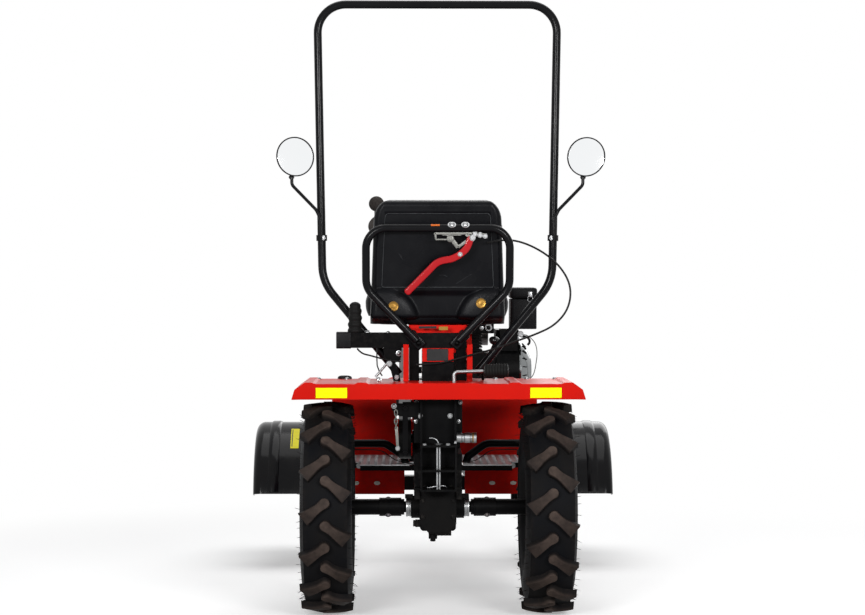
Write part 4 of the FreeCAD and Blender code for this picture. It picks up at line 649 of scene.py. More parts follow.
# Several shapes that keep their own edges, in one piece
def makeSet(name, shapes, finish, body="chassis", **settings):
    return makePiece(name, joinShapes(shapes), finish, body, weld=False, **settings)


# Sheet pieces get their thickness from a Solidify modifier in front of the edge round
def thicken(piece, thickness):
    wall = piece.modifiers.new("wall", "SOLIDIFY")
    wall.thickness = thickness
    wall.offset = -1.0
    wall.use_even_offset = True
    piece.modifiers.move(len(piece.modifiers) - 1, 0)


# Many bolts of one finish in one piece; each row is (x, y, z, axis, across, kind) in mm
def makeBolts(name, rows, finish="zinc_plate", body="chassis"):
    shapes = [boltHead(fromRear(x, y, z), axis, across / 1000, kind) for x, y, z, axis, across, kind in rows]
    makeSet(name, shapes, finish, body, sharp=30)


# A thin patch on a round bar or arch that lies along x: the band between two angles from the top
def bandPatch(name, across, centre, radius, angles, finish, thick=0.6):
    steps = 10
    turn = np.radians(np.linspace(*angles, steps))
    turn = np.concatenate([turn, turn[::-1]])
    reach = np.repeat([radius + thick, radius - thick], steps)
    rings = [fromRear(np.full(2 * steps, float(x)), centre[0] - reach * np.sin(turn),
                      centre[1] + reach * np.cos(turn)) for x in across]
    makePiece(name, gridShape(np.array(rings)), finish, weld=False)


nodeFinishes = {
    "red_enamel": ["rear_deck", "seat_stand", "brake_lever", "leg_shield", "front_guard", "fuel_tank"],
    "black_powder": ["belt_guard", "well_guards", "chassis_frame", "front_axle", "hitch_bracket", "seat_beam",
                     "knuckle_left", "knuckle_right", "steering_column", "steering_box", "drop_arm", "shift_strap",
                     "rear_wheel_left", "rear_wheel_right", "front_wheel_left", "front_wheel_right", "gear_lever"],
    "black_tube": ["roll_hoop", "seat_guard", "mirror_stalks"],
    "arch_moulding": ["front_arch_left", "front_arch_right"],
    "cast_black": ["gearbox"],
    "shroud_black": ["engine_block"],
    "silver_cover": ["recoil_cover"],
    "zinc_plate": ["hitch_pin", "tie_rod", "drag_link", "side_socket", "drive_lever"],
    "grey_pressing": ["brake_bracket"],
    "hot_steel": ["muffler"],
    "plate_metal": ["foot_boards"],
    "moulded_black": ["air_cleaner"],
    "foam_grip": ["steering_wheel"],
    "shell_black": ["seat_shell"],
    "soft_rubber": ["lever_boot"],
    "grained_vinyl": ["seat_back_pad", "seat_cushion"],
    "tyre_rubber": ["rear_tyre_left", "rear_tyre_right", "front_tyre_left", "front_tyre_right"],
    "reflector_yellow": ["deck_reflectors"],
    "mirror_silver": ["mirror_heads"],
    "lamp_body": ["headlamps"],
    "cable_skin": ["brake_cable", "lever_cable"],
}

for finishName, nodeNames in nodeFinishes.items():
    for nodeName in nodeNames:
        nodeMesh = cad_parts[nodeName].data
        nodeMesh.materials.clear()
        nodeMesh.materials.append(finishes[finishName])
print("node finishes set")

tyreLooks = {
    "rear": {"radius": 0.320, "crown": 0.299, "half": 0.077, "shoulder": 0.064, "rim": 0.1527, "bead": 0.045,
             "lugs": 15, "start": {"left": 9.95, "right": 15.1}, "fall": 1.0, "lugWide": 0.0145,
             "hairs": 58, "hairLong": 0.015},
    "front": {"radius": 0.205, "crown": 0.190, "half": 0.056, "shoulder": 0.046, "rim": 0.1019, "bead": 0.031,
              "lugs": 12, "start": {"left": 29.55, "right": 29.55}, "fall": 10 / 9.5, "lugWide": 0.0100,
              "hairs": 0, "hairLong": 0.0},
}
baseRadius = 0.32      # lug sizes are given for a tyre of this radius

# The carcass below its crown, as pairs of (across, height as a share of the side): across runs from the
# shoulder to the half width in the first part, in from the half width in the second, out from the bead in the last
carcassLook = {"round": [(0.35, 0.10), (0.75, 0.24)],
               "wall": [(0.0015, 0.58), (0, 0.48), (0.0008, 0.40), (0.003, 0.39), (0.005, 0.30), (0.012, 0.19),
                        (0.019, 0.125), (0.020, 0.10)],
               "foot": [(0.007, 0.085), (0.002, 0.05)]}


# Height of the tread face above the axle: top less 9 mm * (x / shoulder) to the power 2.2, for the base radius
def treadHeight(look, x, top):
    return top - 0.009 * (np.abs(x) / look["shoulder"]) ** 2.2 * (look["radius"] / baseRadius)


# The carcass is a closed section turned about the axle: bead, bulging side, shoulder and rounded crown
def tyreCarcass(look, hub):
    rim, half, shoulder, bead = look["rim"], look["half"], look["shoulder"], look["bead"]
    side = look["crown"] - rim
    crown = [(x, treadHeight(look, x, look["crown"])) for x in np.linspace(0, shoulder, 6)]
    edge = crown[-1][1]
    right = crown + [(shoulder + x * (half - shoulder), edge - share * side) for x, share in carcassLook["round"]]
    right += [(half - x, rim + share * side) for x, share in carcassLook["wall"]]
    right += [(bead + x, rim + share * side) for x, share in carcassLook["foot"]]
    right.append((bead, rim + 0.0005))
    profile = right + [(-x, r) for x, r in right[:0:-1]]
    return lathe(profile, hub, (1, 0, 0), 120, closed=True)


# A lug's cross-section runs over its spots, each (side of the bar, how far out, level from carcass to tread face);
# neck gives the bar's width at some distances from its head, both in head radii
lugLook = {"slope": 38, "long": 0.094, "flank": 0.0035, "edge": 0.0016, "sunk": 0.003, "back": 0.75,
           "neck": ((1, 1.5, 2.3, 3.6, 6.5), (1, 0.94, 0.80, 0.92, 1.45)),
           "past": 0.75, "topFall": 3.0, "lowFall": 2.2,
           "tint": (0, 0.12, 0.8, 1, 1, 0.8, 0.12, 0), "fade": ((0, 2, 6.5), (1, 0.75, 0.35)), "endTints": (0.5, 0.2)}


# One lug: a bar on the unrolled tread from a round head at the middle out and down to the shoulder.
# At a distance s from the head x = side * (s * cos slope - 0.75 * wide), and it turns back by
# s * sin slope / radius; past the shoulder it bends over the side. Its width follows a half circle at the head
def tyreLug(look, hub, side, turn):
    radius, shoulder, wide = look["radius"], look["shoulder"], look["lugWide"]
    scale = radius / baseRadius
    head = np.linspace(0.1, math.pi / 2, 7)
    bar = np.linspace(wide * 1.3, lugLook["long"] * scale, 9)
    s = np.concatenate([wide * (1 - np.cos(head)), bar])
    width = np.concatenate([wide * np.sin(head), wide * np.interp(bar / wide, *lugLook["neck"])])
    slope = math.radians(lugLook["slope"])
    x = side * (s * math.cos(slope) - wide * lugLook["back"])
    angle = math.radians(turn) - s * math.sin(slope) / radius * look["fall"]
    over = np.clip(np.abs(x) - shoulder, 0, None)
    x = np.where(np.abs(x) > shoulder, side * (shoulder + over * lugLook["past"]), x)
    top = treadHeight(look, x, radius) - over * lugLook["topFall"]
    low = treadHeight(look, x, look["crown"]) - over * lugLook["lowFall"] - lugLook["sunk"]
    flank, edge = lugLook["flank"] * scale, lugLook["edge"] * scale
    # square to the bar on the unrolled tread is (sin slope, cos slope), the second part as a turn
    spots = [(-1, flank, 0.0), (-1, flank * 0.5, 0.55), (-1, edge * 0.3, 0.93), (-1, -edge, 1.0),
             (1, -edge, 1.0), (1, edge * 0.3, 0.93), (1, flank * 0.5, 0.55), (1, flank, 0.0)]
    rings = []
    for way, grow, level in spots:
        reach = way * (width + grow)
        spotX = x + side * reach * math.sin(slope)
        spotTurn = angle + reach * math.cos(slope) / radius
        height = low + (top - low) * level
        rings.append(np.stack([spotX, -height * np.cos(spotTurn), height * np.sin(spotTurn)], -1) + hub)
    tints = np.interp(s / wide, *lugLook["fade"])[:, None] * np.array(lugLook["tint"])
    return gridShape(np.stack(rings, 1)), np.append(tints.ravel(), lugLook["endTints"])


# Moulding hairs: thin three-sided spikes on both shoulders, evenly round the tyre but for a random shift, lean
# and length
def tyreHairs(look, hub, seed):
    random = np.random.default_rng(seed)
    count = look["hairs"]
    shapes = []
    for side in (-1, 1):
        turns = (np.arange(count) + random.uniform(-0.4, 0.4, count)) * 2 * math.pi / count
        rows = random.uniform(-0.012, 0.004, count)
        longs = look["hairLong"] * random.uniform(0.35, 1.0, count)
        leans = random.uniform(-0.5, 0.5, (count, 2))
        for turn, row, length, lean in zip(turns, rows, longs, leans):
            radius = look["crown"] - 0.022 + row
            radial = np.array([0, -math.cos(turn), math.sin(turn)])
            around = np.array([0, math.sin(turn), math.cos(turn)])
            root = np.array(hub) + side * np.array([look["half"] - 0.007, 0, 0]) + radial * radius
            way = unit(np.array([side, 0, 0]) + radial * (0.35 + lean[0] * 0.6) + around * lean[1])
            shapes.append(lathe([(0, 0.0009), (length * 0.8 + 0.004, 0.0007), (length + 0.006, 0.0003)],
                                root, way, 3))
    return shapes


def makeTyre(kind, word, seed):
    look = tyreLooks[kind]
    node = f"{kind}_tyre_{word}"
    low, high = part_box(node)
    hub = np.array((low + high) / 2)
    shapes = [tyreCarcass(look, hub)]
    marks = [np.zeros(len(shapes[0][0]))]
    pitch = 360 / look["lugs"]
    for index in range(look["lugs"]):
        turn = look["start"][word] + index * pitch
        for side, shift in ((-1, 0), (1, 0.5 * pitch)):
            shape, tops = tyreLug(look, hub, side, turn + shift)
            shapes.append(shape)
            marks.append(tops)
    hairs = tyreHairs(look, hub, seed)
    marks += [np.zeros(len(points)) for points, faces in hairs]
    makeSet(node + "_tread", shapes + hairs, "tyre_rubber", f"{kind}_wheel_{word}", sharp=40,
            replaces=[node], marks=np.concatenate(marks))


for kind in tyreLooks:
    for seed, (side, word) in enumerate(sides, 3):
        makeTyre(kind, word, seed)
print("tyres made")
shellLook = {"low": 876, "top": 1249, "halfLow": 203, "halfHigh": 189, "corner": (44, 58), "depth": -6, "lean": 40,
             "panelLow": 985, "panelTop": 1214, "panelHalf": (176, 158), "panelHigh": 4.5, "panelGroove": (1.5, 2.4),
             "dome": (165, 870, 104, 115), "bulge": 20, "hollow": 13, "rib": 36, "ribGroove": (2.5, 2.2),
             "edgeWide": 190, "rim": 20, "rimWide": 16, "foot": 60, "footShare": 0.07, "sheet": 0.004}
panLook = {"wide": 0.402, "deep": 0.372, "corner": 0.05, "ahead": 0.196,
           "rings": ((873, 26), (874.5, 16), (879, 8), (888, 3), (905, 0), (926, 1), (934, 3), (936, 8))}


# The shell's back is a sheet over (across, height). Its half width runs from low to high and rounds at
# the top corners; its depth is the lean, plus a pressed panel, two domes inside ellipses, a groove
# round each dome, ribs on the trunk between them and a rim that turns forward at the edges
def seatBackPoint(u, v, look):
    low, top = look["low"], look["top"]
    z = low + (top - low) * v
    half = look["halfLow"] + (look["halfHigh"] - look["halfLow"]) * v
    wideCorner, highCorner = look["corner"]
    t = np.clip((z - (top - highCorner)) / highCorner, 0, 1)
    half = half - wideCorner * (1 - np.sqrt(np.clip(1 - t * t, 0, 1)))
    x = u * half
    y = look["depth"] - look["lean"] * v
    foot, head = look["panelHalf"]
    inside = np.minimum(foot + (head - foot) * v - np.abs(x), np.minimum(look["panelTop"] - z, z - look["panelLow"]))
    deep, wide = look["panelGroove"]
    y = y + look["panelHigh"] * smooth(inside, -3, 3) - deep * gauss(inside, wide)
    mid, level, wide, high = look["dome"]
    ring = np.sqrt(((np.abs(x) - mid) / wide) ** 2 + ((z - level) / high) ** 2)
    below = smooth(look["panelLow"] - z, 2, 26)
    y = y + look["hollow"] * below * smooth(ring, 0.98, 1.08)
    y = y - look["bulge"] * np.sqrt(np.clip(1 - ring ** 2, 0, 1)) * smooth(look["panelLow"] - z, -4, 12)
    deep, wide = look["ribGroove"]
    y = y - deep * gauss(np.abs(x) - look["rib"], wide) * below
    edge = np.minimum((1 - np.abs(u)) * look["edgeWide"], (1 - v) * (top - low))
    y = y + look["rim"] * (1 - np.sqrt(np.clip(1 - (1 - np.clip(edge / look["rimWide"], 0, 1)) ** 2, 0, 1)))
    y = y + look["foot"] * smooth(look["footShare"] - v, 0, look["footShare"])
    return np.stack([x / 1000, rearY + y / 1000, z / 1000], -1)


# The back's grid is finer towards its edges and its wall grows both ways from the middle; the pan is a
# stack of rounded rings from foot to rim
def makeSeatShell():
    u = np.sin(np.linspace(-1, 1, 131) * math.pi / 2)
    v = np.concatenate([np.linspace(0, 0.86, 96), 1 - 0.14 * np.cos(np.linspace(0, math.pi / 2, 22)[1:])])
    u, v = np.meshgrid(u, v)
    back = gridShape(seatBackPoint(u, v, shellLook), colsClosed=False)
    sheet = makePiece("seat_shell_back", back, "shell_black", sharp=50, replaces=["seat_shell"])
    wall = sheet.modifiers.new("wall", "SOLIDIFY")
    wall.thickness = shellLook["sheet"]
    wall.offset = 0
    rings = []
    for z, inset in panLook["rings"]:
        outline = roundedOutline(panLook["wide"] - inset / 500, panLook["deep"] - inset / 500, panLook["corner"], 8)
        rings.append(np.column_stack([outline[:, 0], rearY + panLook["ahead"] + outline[:, 1],
                                      np.full(len(outline), z / 1000)]))
    makePiece("seat_shell_pan", gridShape(np.array(rings)), "shell_black", sharp=50)


# The piece's mesh as its modifiers leave it
def finishedMesh(piece):
    graph = bpy.context.evaluated_depsgraph_get()
    return bpy.data.meshes.new_from_object(piece.evaluated_get(graph))


def vertexRows(mesh, kind="co"):
    rows = np.empty(len(mesh.vertices) * 3)
    mesh.vertices.foreach_get(kind, rows)
    return rows.reshape(-1, 3)


# Remeshes a pad evenly, swells it as cloth under pressure, and holds each point within a cap of where it was
def stuffPad(piece, look):
    even = piece.modifiers.new("even_mesh", "REMESH")
    even.mode = "VOXEL"
    even.voxel_size = look["voxel"]
    mesh = finishedMesh(piece)
    piece.modifiers.clear()
    piece.data = mesh
    start = vertexRows(mesh)
    cloth = piece.modifiers.new("stuffing", "CLOTH")
    cloth.settings.use_pressure = True
    cloth.settings.uniform_pressure_force = look["pressure"]
    cloth.settings.effector_weights.gravity = 0
    cloth.point_cache.frame_start = 1
    cloth.point_cache.frame_end = look["frames"]
    for step in range(1, look["frames"] + 1):
        bpy.context.scene.frame_set(step)
    swollen = finishedMesh(piece)
    moved = vertexRows(swollen) - start
    length = np.linalg.norm(moved, axis=1, keepdims=True)
    moved *= np.minimum(1, look["cap"] / np.maximum(length, 1e-9))
    moved = look["hold"](start, moved)
    piece.modifiers.clear()
    mesh.vertices.foreach_set("co", (start + moved).ravel())
    bpy.data.meshes.remove(swollen)
    bpy.context.scene.frame_set(1)


# After the swelling the mesh is made finer and its seams press in: each point sinks along its normal
def pressSeams(piece, look):
    finer = piece.modifiers.new("finer", "SUBSURF")
    finer.levels = 1
    finer.render_levels = 1
    mesh = finishedMesh(piece)
    piece.modifiers.clear()
    piece.data = mesh
    points, normals = vertexRows(mesh), vertexRows(mesh, "normal")
    sink = look["seams"](points, normals)
    mesh.vertices.foreach_set("co", (points - normals * sink[:, None]).ravel())
    mesh.shade_smooth()
    mesh.update()


seamLook = {"long": 0.006, "cross": 0.005, "wide": 0.006}


# Seams on the faces that look one way: two long ones at +-side and, between them, one at each of the crossings.
# Each is a bell of the distance from its line
def seamDepths(facing, x, along, side, crossings):
    depth = seamLook["long"] * gauss(np.abs(x) - side, seamLook["wide"])
    for place in crossings:
        depth = depth + seamLook["cross"] * gauss(along - place, seamLook["wide"]) * (np.abs(x) < side)
    return np.clip(facing, 0, 1) * depth


# A pad is a section carried along: the right half is turned over for the left, and towards either end,
# given as (place, reach, size), the section draws in by a quarter turn
def padSection(half, other):
    half, other = np.array(half) / 1000, np.array(other) / 1000
    return np.vstack([np.column_stack([half, other]), np.column_stack([-half[-2:0:-1], other[-2:0:-1]])])


def padRun(look):
    (first, firstReach, firstSize), (last, lastReach, lastSize) = look["ends"]
    steps = np.linspace(0, math.pi / 2, 6)
    even = np.linspace(*look["even"])
    along = np.concatenate([first + firstReach * (1 - np.cos(steps)), even,
                            last - lastReach * (1 - np.cos(steps[::-1]))])
    size = np.concatenate([firstSize + (1 - firstSize) * np.sin(steps), np.ones(len(even)),
                           lastSize + (1 - lastSize) * np.sin(steps[::-1])])
    return along, size


# Puts a pad's rings in a piece, stuffs it and presses its seams
def makePad(name, node, rings, look):
    piece = makePiece(name, gridShape(np.array(rings)), "grained_vinyl", sharp=180, replaces=[node])
    stuffPad(piece, look)
    pressSeams(piece, look)


cushionLook = {
    "voxel": 0.006, "pressure": 4.0, "frames": 20, "cap": 0.022,
    "half": (0, 40, 90, 130, 158, 180, 200, 214, 222, 222, 214, 200, 150, 80, 0),
    "high": (938, 937, 937, 942, 958, 974, 980, 972, 950, 925, 900, 889, 886, 886, 886),
    "ends": ((0.080, 0.03, 0.84), (0.382, 0.032, 0.84)), "even": (0.12, 0.34, 16),
    "droop": 0.014, "droopRun": (0.26, 0.385), "droopAbove": 0.92,
    "hold": lambda start, moved: np.column_stack(
        [moved[:, 0] * 0.5, moved[:, 1] * 0.5, np.where(start[:, 2] < 0.9, 0, moved[:, 2] * 0.8)]),
    "seams": lambda p, n: seamDepths(n[:, 2], p[:, 0], p[:, 1] - rearY, 0.150, (0.160, 0.250)),
}


# The cushion is a section across the seat carried forward: flat foot, bulging sides, bolsters and a
# dished middle; its top falls a little towards the front
def makeCushion(look):
    section = padSection(look["half"], look["high"])
    centre = section.mean(0)
    along, size = padRun(look)
    rings = []
    for place, scale, fall in zip(along, size, look["droop"] * smooth(along, *look["droopRun"])):
        ring = centre + (section - centre) * scale
        rings.append(np.column_stack([ring[:, 0], np.full(len(ring), rearY + place),
                                      ring[:, 1] - fall * (ring[:, 1] > look["droopAbove"])]))
    makePad("seat_cushion_pad", "seat_cushion", rings, look)


backPadLook = {
    "voxel": 0.006, "pressure": 4.0, "frames": 20, "cap": 0.022,
    "half": (0, 50, 100, 130, 150, 168, 180, 184, 182, 172, 120, 60, 0),
    "deep": (26, 26, 28, 34, 44, 48, 42, 26, 10, 3, 1, 1, 1), "middle": 0.012,
    "ends": ((0.955, 0.03, 0.84), (1.2545, 0.036, 0.62)), "even": (1.0, 1.205, 14),
    "leanFrom": 0.873, "lean": (40, 376),
    "hold": lambda start, moved: np.column_stack(
        [moved[:, 0] * 0.4, np.clip(moved[:, 1], 0, backPadLook["cap"]), moved[:, 2] * 0.4]),
    "seams": lambda p, n: seamDepths(n[:, 1], p[:, 0], p[:, 2], 0.135, (1.045, 1.140)),
}


# The back pad is a section across carried up the lean: flat behind, side wings and a shallow dish in front
def makeBackPad(look):
    section = padSection(look["half"], look["deep"])
    centre = np.array([0, look["middle"]])
    back, rise = look["lean"]
    rings = []
    for z, scale in zip(*padRun(look)):
        ring = centre + (section - centre) * scale
        lean = -(z - look["leanFrom"]) * back / rise
        rings.append(np.column_stack([ring[:, 0], rearY + lean + ring[:, 1], np.full(len(ring), z)]))
    makePad("seat_back_cushion", "seat_back_pad", rings, look)


makeSeatShell()
makeCushion(cushionLook)
makeBackPad(backPadLook)
print("seat made")

deckLook = {"half": 433, "shoulder": 424, "chamfer": (29, 21), "back": -215, "front": 185, "low": 660, "top": 700,
            "rise": 6.0, "lip": 30, "sheet": 0.0028, "bend": 0.0022,
            "ribs": ((206, 214, 238, 246), (362, 372, 396, 403)), "openRib": 400, "rib": 4.0, "core": (112, 122)}


# Height of the deck across x: the flat plus a trapezoid for each rib and a lower step in the middle.
# A rib that ends past openRib has no outer slope and runs on to the shoulder
def deckHeight(x, look):
    x = np.abs(x)
    height = np.full(x.shape, float(look["top"]))
    for a, b, c, d in look["ribs"]:
        up = np.clip((x - a) / (b - a), 0, 1)
        down = np.clip((d - x) / (d - c), 0, 1) if d < look["openRib"] else 1.0
        height += look["rib"] * np.minimum(up, down)
    inner, outer = look["core"]
    return height + look["rib"] * 0.5 * np.clip((outer - x) / (outer - inner), 0, 1)


# The deck is one folded sheet: a top that follows deckHeight(x) and rises evenly to the rear, chamfered
# shoulders and four skirts
def makeDeck(look):
    wide, drop = look["chamfer"]
    edge = look["shoulder"] - wide
    knots = [0, *look["core"], edge] + [x for rib in look["ribs"] for x in rib if x < edge]
    right = np.unique(np.array(knots, float))
    across = np.concatenate([-right[:0:-1], right])
    height = deckHeight(across, look)
    across = np.concatenate([[-look["shoulder"]], across, [look["shoulder"]]])
    fold = look["top"] + look["rib"] - drop
    height = np.concatenate([[fold], height, [fold]])
    depth = np.array([look["back"], look["back"] + look["lip"], look["front"] - look["lip"], look["front"]])
    lift = look["rise"] * (look["front"] - depth) / (look["front"] - look["back"])
    top = np.array([[fromRear(x, y, z + up) for x, z in zip(across, height)] for y, up in zip(depth, lift)])
    foot = across * look["half"] / look["shoulder"]
    low = np.array([[fromRear(x, y, look["low"]) for x in foot] for y in depth])
    shapes = [gridShape(top, colsClosed=False)]
    for upper, lower in ((top[0], low[0]), (top[-1], low[-1]), (top[:, 0], low[:, 0]), (top[:, -1], low[:, -1])):
        shapes.append(gridShape(np.stack([upper, lower]), colsClosed=False))
    piece = makePiece("deck_pressing", joinShapes(shapes), "red_enamel", sharp=12, bevel=look["bend"],
                      bevelSteps=3, replaces=["rear_deck"])
    thicken(piece, look["sheet"])


makeDeck(deckLook)
makeBolts("deck_bolts", [(side * x, 141, 701, upAxis, 13, "dome") for side in (-1, 1) for x in (366, 278, 181)])

capLook = {"at": (-286, 166, 701), "wide": 22, "deep": 15, "high": 10}
dishLook = {"at": (-24, 120, 702), "profile": [(0, 66), (3, 66), (5.5, 62), (4.5, 50), (4.2, 20), (4.2, 0.2)]}


# An oval cap: height 0.3 + 0.7 * sin q against radius cos q to the power 0.6, turned about z, with the
# radius pulled to an ellipse in plan
def makeCap(look):
    quarter = np.linspace(0, math.pi / 2 - 0.02, 7)
    profile = [(0, look["wide"])]
    profile += [(look["high"] * (0.3 + 0.7 * math.sin(q)), look["wide"] * math.cos(q) ** 0.6) for q in quarter]
    first = squareTo(upAxis)[0]
    lean = math.atan2(first[1], first[0])

    def edge(angle):
        share = look["deep"] / look["wide"]
        return 1 / np.sqrt(np.cos(angle + lean) ** 2 + (np.sin(angle + lean) / share) ** 2)
    makePiece("deck_cap", turned(profile, look["at"], upAxis, edge=edge), "moulded_black", sharp=50)


makeCap(capLook)
makePiece("deck_dish", turned(dishLook["profile"], dishLook["at"], upAxis, 48), "shell_black", sharp=50)

# Stand: a black block over the lower middle of the stand box, a blank plate between the posts, and bolts under the
# beam
makePiece("stand_black_block", brick((-47.6, -62.5, 704), (47.6, -30, 764)), "black_powder", bevel=0.001)
makePiece("stand_plate", brick((-33, -63.2, 767), (31, -60.5, 803)), "label_black", bevel=0.0008)
makeBolts("beam_bolts", [(-69, 0, 803.5, downAxis, 14, "hex"), (66, 0, 803.5, downAxis, 14, "hex"),
                         (-213, -2, 850, upAxis, 13, "hex"), (-150, -6, 850, upAxis, 10, "dome")])
makePiece("beam_end_cap", barShape((-307, 0, 827), (-262, 0, 827), 44, 50, 4.5, 2), "moulded_black", sharp=40)

# Flattened ends of the seat guard, each a plate along the tube with its bolt
for side, word in sides:
    foot = barShape((side * 86, -26.5, 850), (side * 46, -26.5, 806), 34, 12.5, 5, 5, (0, 1, 0))
    makePiece(f"guard_foot_{word}", foot, "black_tube", sharp=40)
makeBolts("guard_foot_bolts", [(side * 58, -32.5, 819, backAxis, 15, "dome") for side in (-1, 1)], "black_powder")

rodLook = {"start": (-188, -34, 717), "end": (-148, -30, 764), "radius": 0.004, "pitch": 0.0022}


# A threaded rod: its radius follows 0.93 + 0.07 * cosine, one turn for each pitch
def makeThread(look):
    start, end = fromRear(*look["start"]), fromRear(*look["end"])
    length = float(np.linalg.norm(end - start))
    along = np.linspace(0, length, int(length / look["pitch"]) * 4 + 1)
    radius = look["radius"] * (0.93 + 0.07 * np.cos(along * 2 * math.pi / look["pitch"]))
    profile = [(0, 0.0002)] + list(zip(along, radius)) + [(length, 0.0002)]
    makePiece("linkage_rod", lathe(profile, start, end - start, 14), "zinc_plate", sharp=60)


makeThread(rodLook)
linkageLook = {"crank": [(-165, 804), (-108, 804), (-112, 768), (-140, 752), (-158, 768)], "crankAt": -22,
               "arm": [(-150, 760), (-128, 757), (-116, 728), (-112, 704), (-134, 704), (-140, 730)], "armAt": -34,
               "thick": 8, "wire": [(-184, -10, 803), (-184, -12, 770), (-183, -16, 750), (-176, -22, 732),
                                    (-168, -26, 720)]}
for word in ("crank", "arm"):
    plate = plateShape(linkageLook[word], linkageLook[word + "At"], linkageLook["thick"])
    makePiece(f"linkage_{word}", plate, "black_powder", bevel=0.0012)
makeBolts("linkage_bolts", [(-146, -35, 757, backAxis, 12, "hex"), (-124, -35, 716, backAxis, 10, "hex"),
                            (-118, -23, 788, backAxis, 12, "dome"), (-176, -36, 706, backAxis, 9, "dome")])
makePiece("linkage_wire", sweep(circle(0.002, 8), [fromRear(*place) for place in linkageLook["wire"]], (0, 1, 0)),
          "cable_skin", sharp=60)

gripLook = {"from": (133, -153, 740.9), "to": (209, -153, 743.1), "radius": 0.0205, "rings": 9, "soft": 0.006}


# A ribbed grip: between soft ends the radius is 0.9 + 0.1 * |sine| to the power 0.6, one swing for each ring
def makeGrip(look):
    start, end = fromRear(*look["from"]), fromRear(*look["to"])
    length = float(np.linalg.norm(end - start))
    share = np.linspace(0, 1, look["rings"] * 8 + 1)
    swing = np.abs(np.sin(share * math.pi * look["rings"])) ** 0.6
    radius = look["radius"] * (0.90 + 0.10 * swing)
    ends = np.minimum(share, 1 - share) * length
    radius *= np.sqrt(np.clip(1 - np.clip(1 - ends / look["soft"], 0, 1) ** 2, 0.05, 1))
    profile = [(0, 0.0002)] + list(zip(share * length, radius)) + [(length, 0.0002)]
    makePiece("drive_grip", lathe(profile, start, end - start, 36), "soft_rubber", sharp=60)


makeGrip(gripLook)

# Arches: raised bands that follow the moulding's turn about the front axle
archLook = {"ahead": 1.2, "high": 0.205, "radius": 0.2835, "bands": ((0.352, 0.380), (0.538, 0.574)),
            "raised": 0.0035, "foot": 0.0003, "sunk": 0.003, "skirt": 0.004, "slope": 0.006, "tilt": 7.5,
            "sweep": 140}


# Each band is a low trapezoid across x carried round the arch:
# y = ahead + radius * sin(turn), z = high + radius * cos(turn)
def makeArchBands(side, word, look):
    shapes = []
    turns = np.radians(np.linspace(-look["sweep"] / 2, look["sweep"] / 2, 49) - look["tilt"])
    skirt, slope = look["skirt"], look["slope"]
    foot, sunk, raised = look["foot"], look["sunk"], look["raised"]
    radius = look["radius"] + np.array([-sunk, foot, raised, raised, foot, -sunk])
    for start, end in look["bands"]:
        x = side * np.array([start - skirt, start, start + slope, end - slope, end, end + skirt])
        rings = [np.stack([x, rearY + look["ahead"] + radius * math.sin(turn),
                           look["high"] + radius * math.cos(turn)], -1) for turn in turns]
        shapes.append(gridShape(np.array(rings)))
    makeSet(f"arch_bands_{word}", shapes, "arch_moulding", sharp=50)


for side, word in sides:
    makeArchBands(side, word, archLook)
print("deck and stand made")

# Hitch: bolts on its plate, the twin rods of the pin with their flat head, the wire clip and its wings
makeBolts("hitch_bolts", [(-54, -101, 604, backAxis, 11, "hex"), (36, -101, 604, backAxis, 11, "hex"),
                          (-66, -101, 587, backAxis, 8, "dome"), (61, -101, 587, backAxis, 8, "dome"),
                          (-64, -101, 645, backAxis, 9, "dome"), (66, -101, 645, backAxis, 9, "dome"),
                          (-41, -181, 523, upAxis, 10, "hex"), (28, -181, 523, upAxis, 11, "hex"),
                          (52, -178, 531, (-1, 0, 0), 11, "hex")])
pinLook = {"foot": 385, "head": 523, "y": -162, "spread": 3.9, "rod": 3.7,
           "cap": [(0, 0.2), (0, 12.5), (1, 13.2), (3, 13.2), (4, 12), (4, 0.2)],
           "clip": [(0, 525), (-2, 532), (-8, 539), (-16, 542), (-27, 542.5)], "clipWire": 2.3,
           "wings": [([(-33, -3, 395.5), (-25, -6, 396), (-14, -9, 399), (-3, -9, 400)], 2.6),
                     ([(3, -9, 400), (13, -9, 402), (20, -7, 400), (24, -5, 397)], 2.3)]}


def makeHitchPin(look):
    high, y = look["head"] - look["foot"], look["y"]
    rod = [(0, 0.2), (0, look["rod"] - 0.8), (0.8, look["rod"]), (high, look["rod"]), (high, 0.2)]
    shapes = [turned(rod, (side * look["spread"], y, look["foot"]), upAxis, 20) for side in (-1, 1)]
    shapes.append(turned(look["cap"], (0, y, look["head"]), upAxis, 28))
    makeSet("hitch_pin_rods", shapes, "zinc_plate", sharp=40, replaces=["hitch_pin"])
    makePiece("hitch_clip", wireShape([(x, y, z) for x, z in look["clip"]], look["clipWire"], 10), "zinc_plate",
              sharp=60)
    wings = [wireShape([(x, y + dy, z) for x, dy, z in route], radius, 10) for route, radius in look["wings"]]
    makeSet("hitch_wings", wings, "zinc_plate", sharp=60)


makeHitchPin(pinLook)
socketLook = {"at": (54, -130, 541),
              "tube": [(0, 11), (0, 14.2), (1, 15), (15, 15), (17, 13.4), (23, 13.4), (25, 15.2), (40, 15.2),
                       (42, 13.6), (45, 13.6), (47, 15), (59, 15), (60, 14.2), (60, 11)],
              "band": [(47.5, 14), (47.5, 15.6), (51, 15.6), (51, 14)]}
makePiece("socket_tube", turned(socketLook["tube"], socketLook["at"], (1, 0, 0), 36, True), "zinc_plate",
          sharp=30, replaces=["side_socket"])
makePiece("socket_band", turned(socketLook["band"], socketLook["at"], (1, 0, 0), 36, True), "badge_amber", sharp=30)

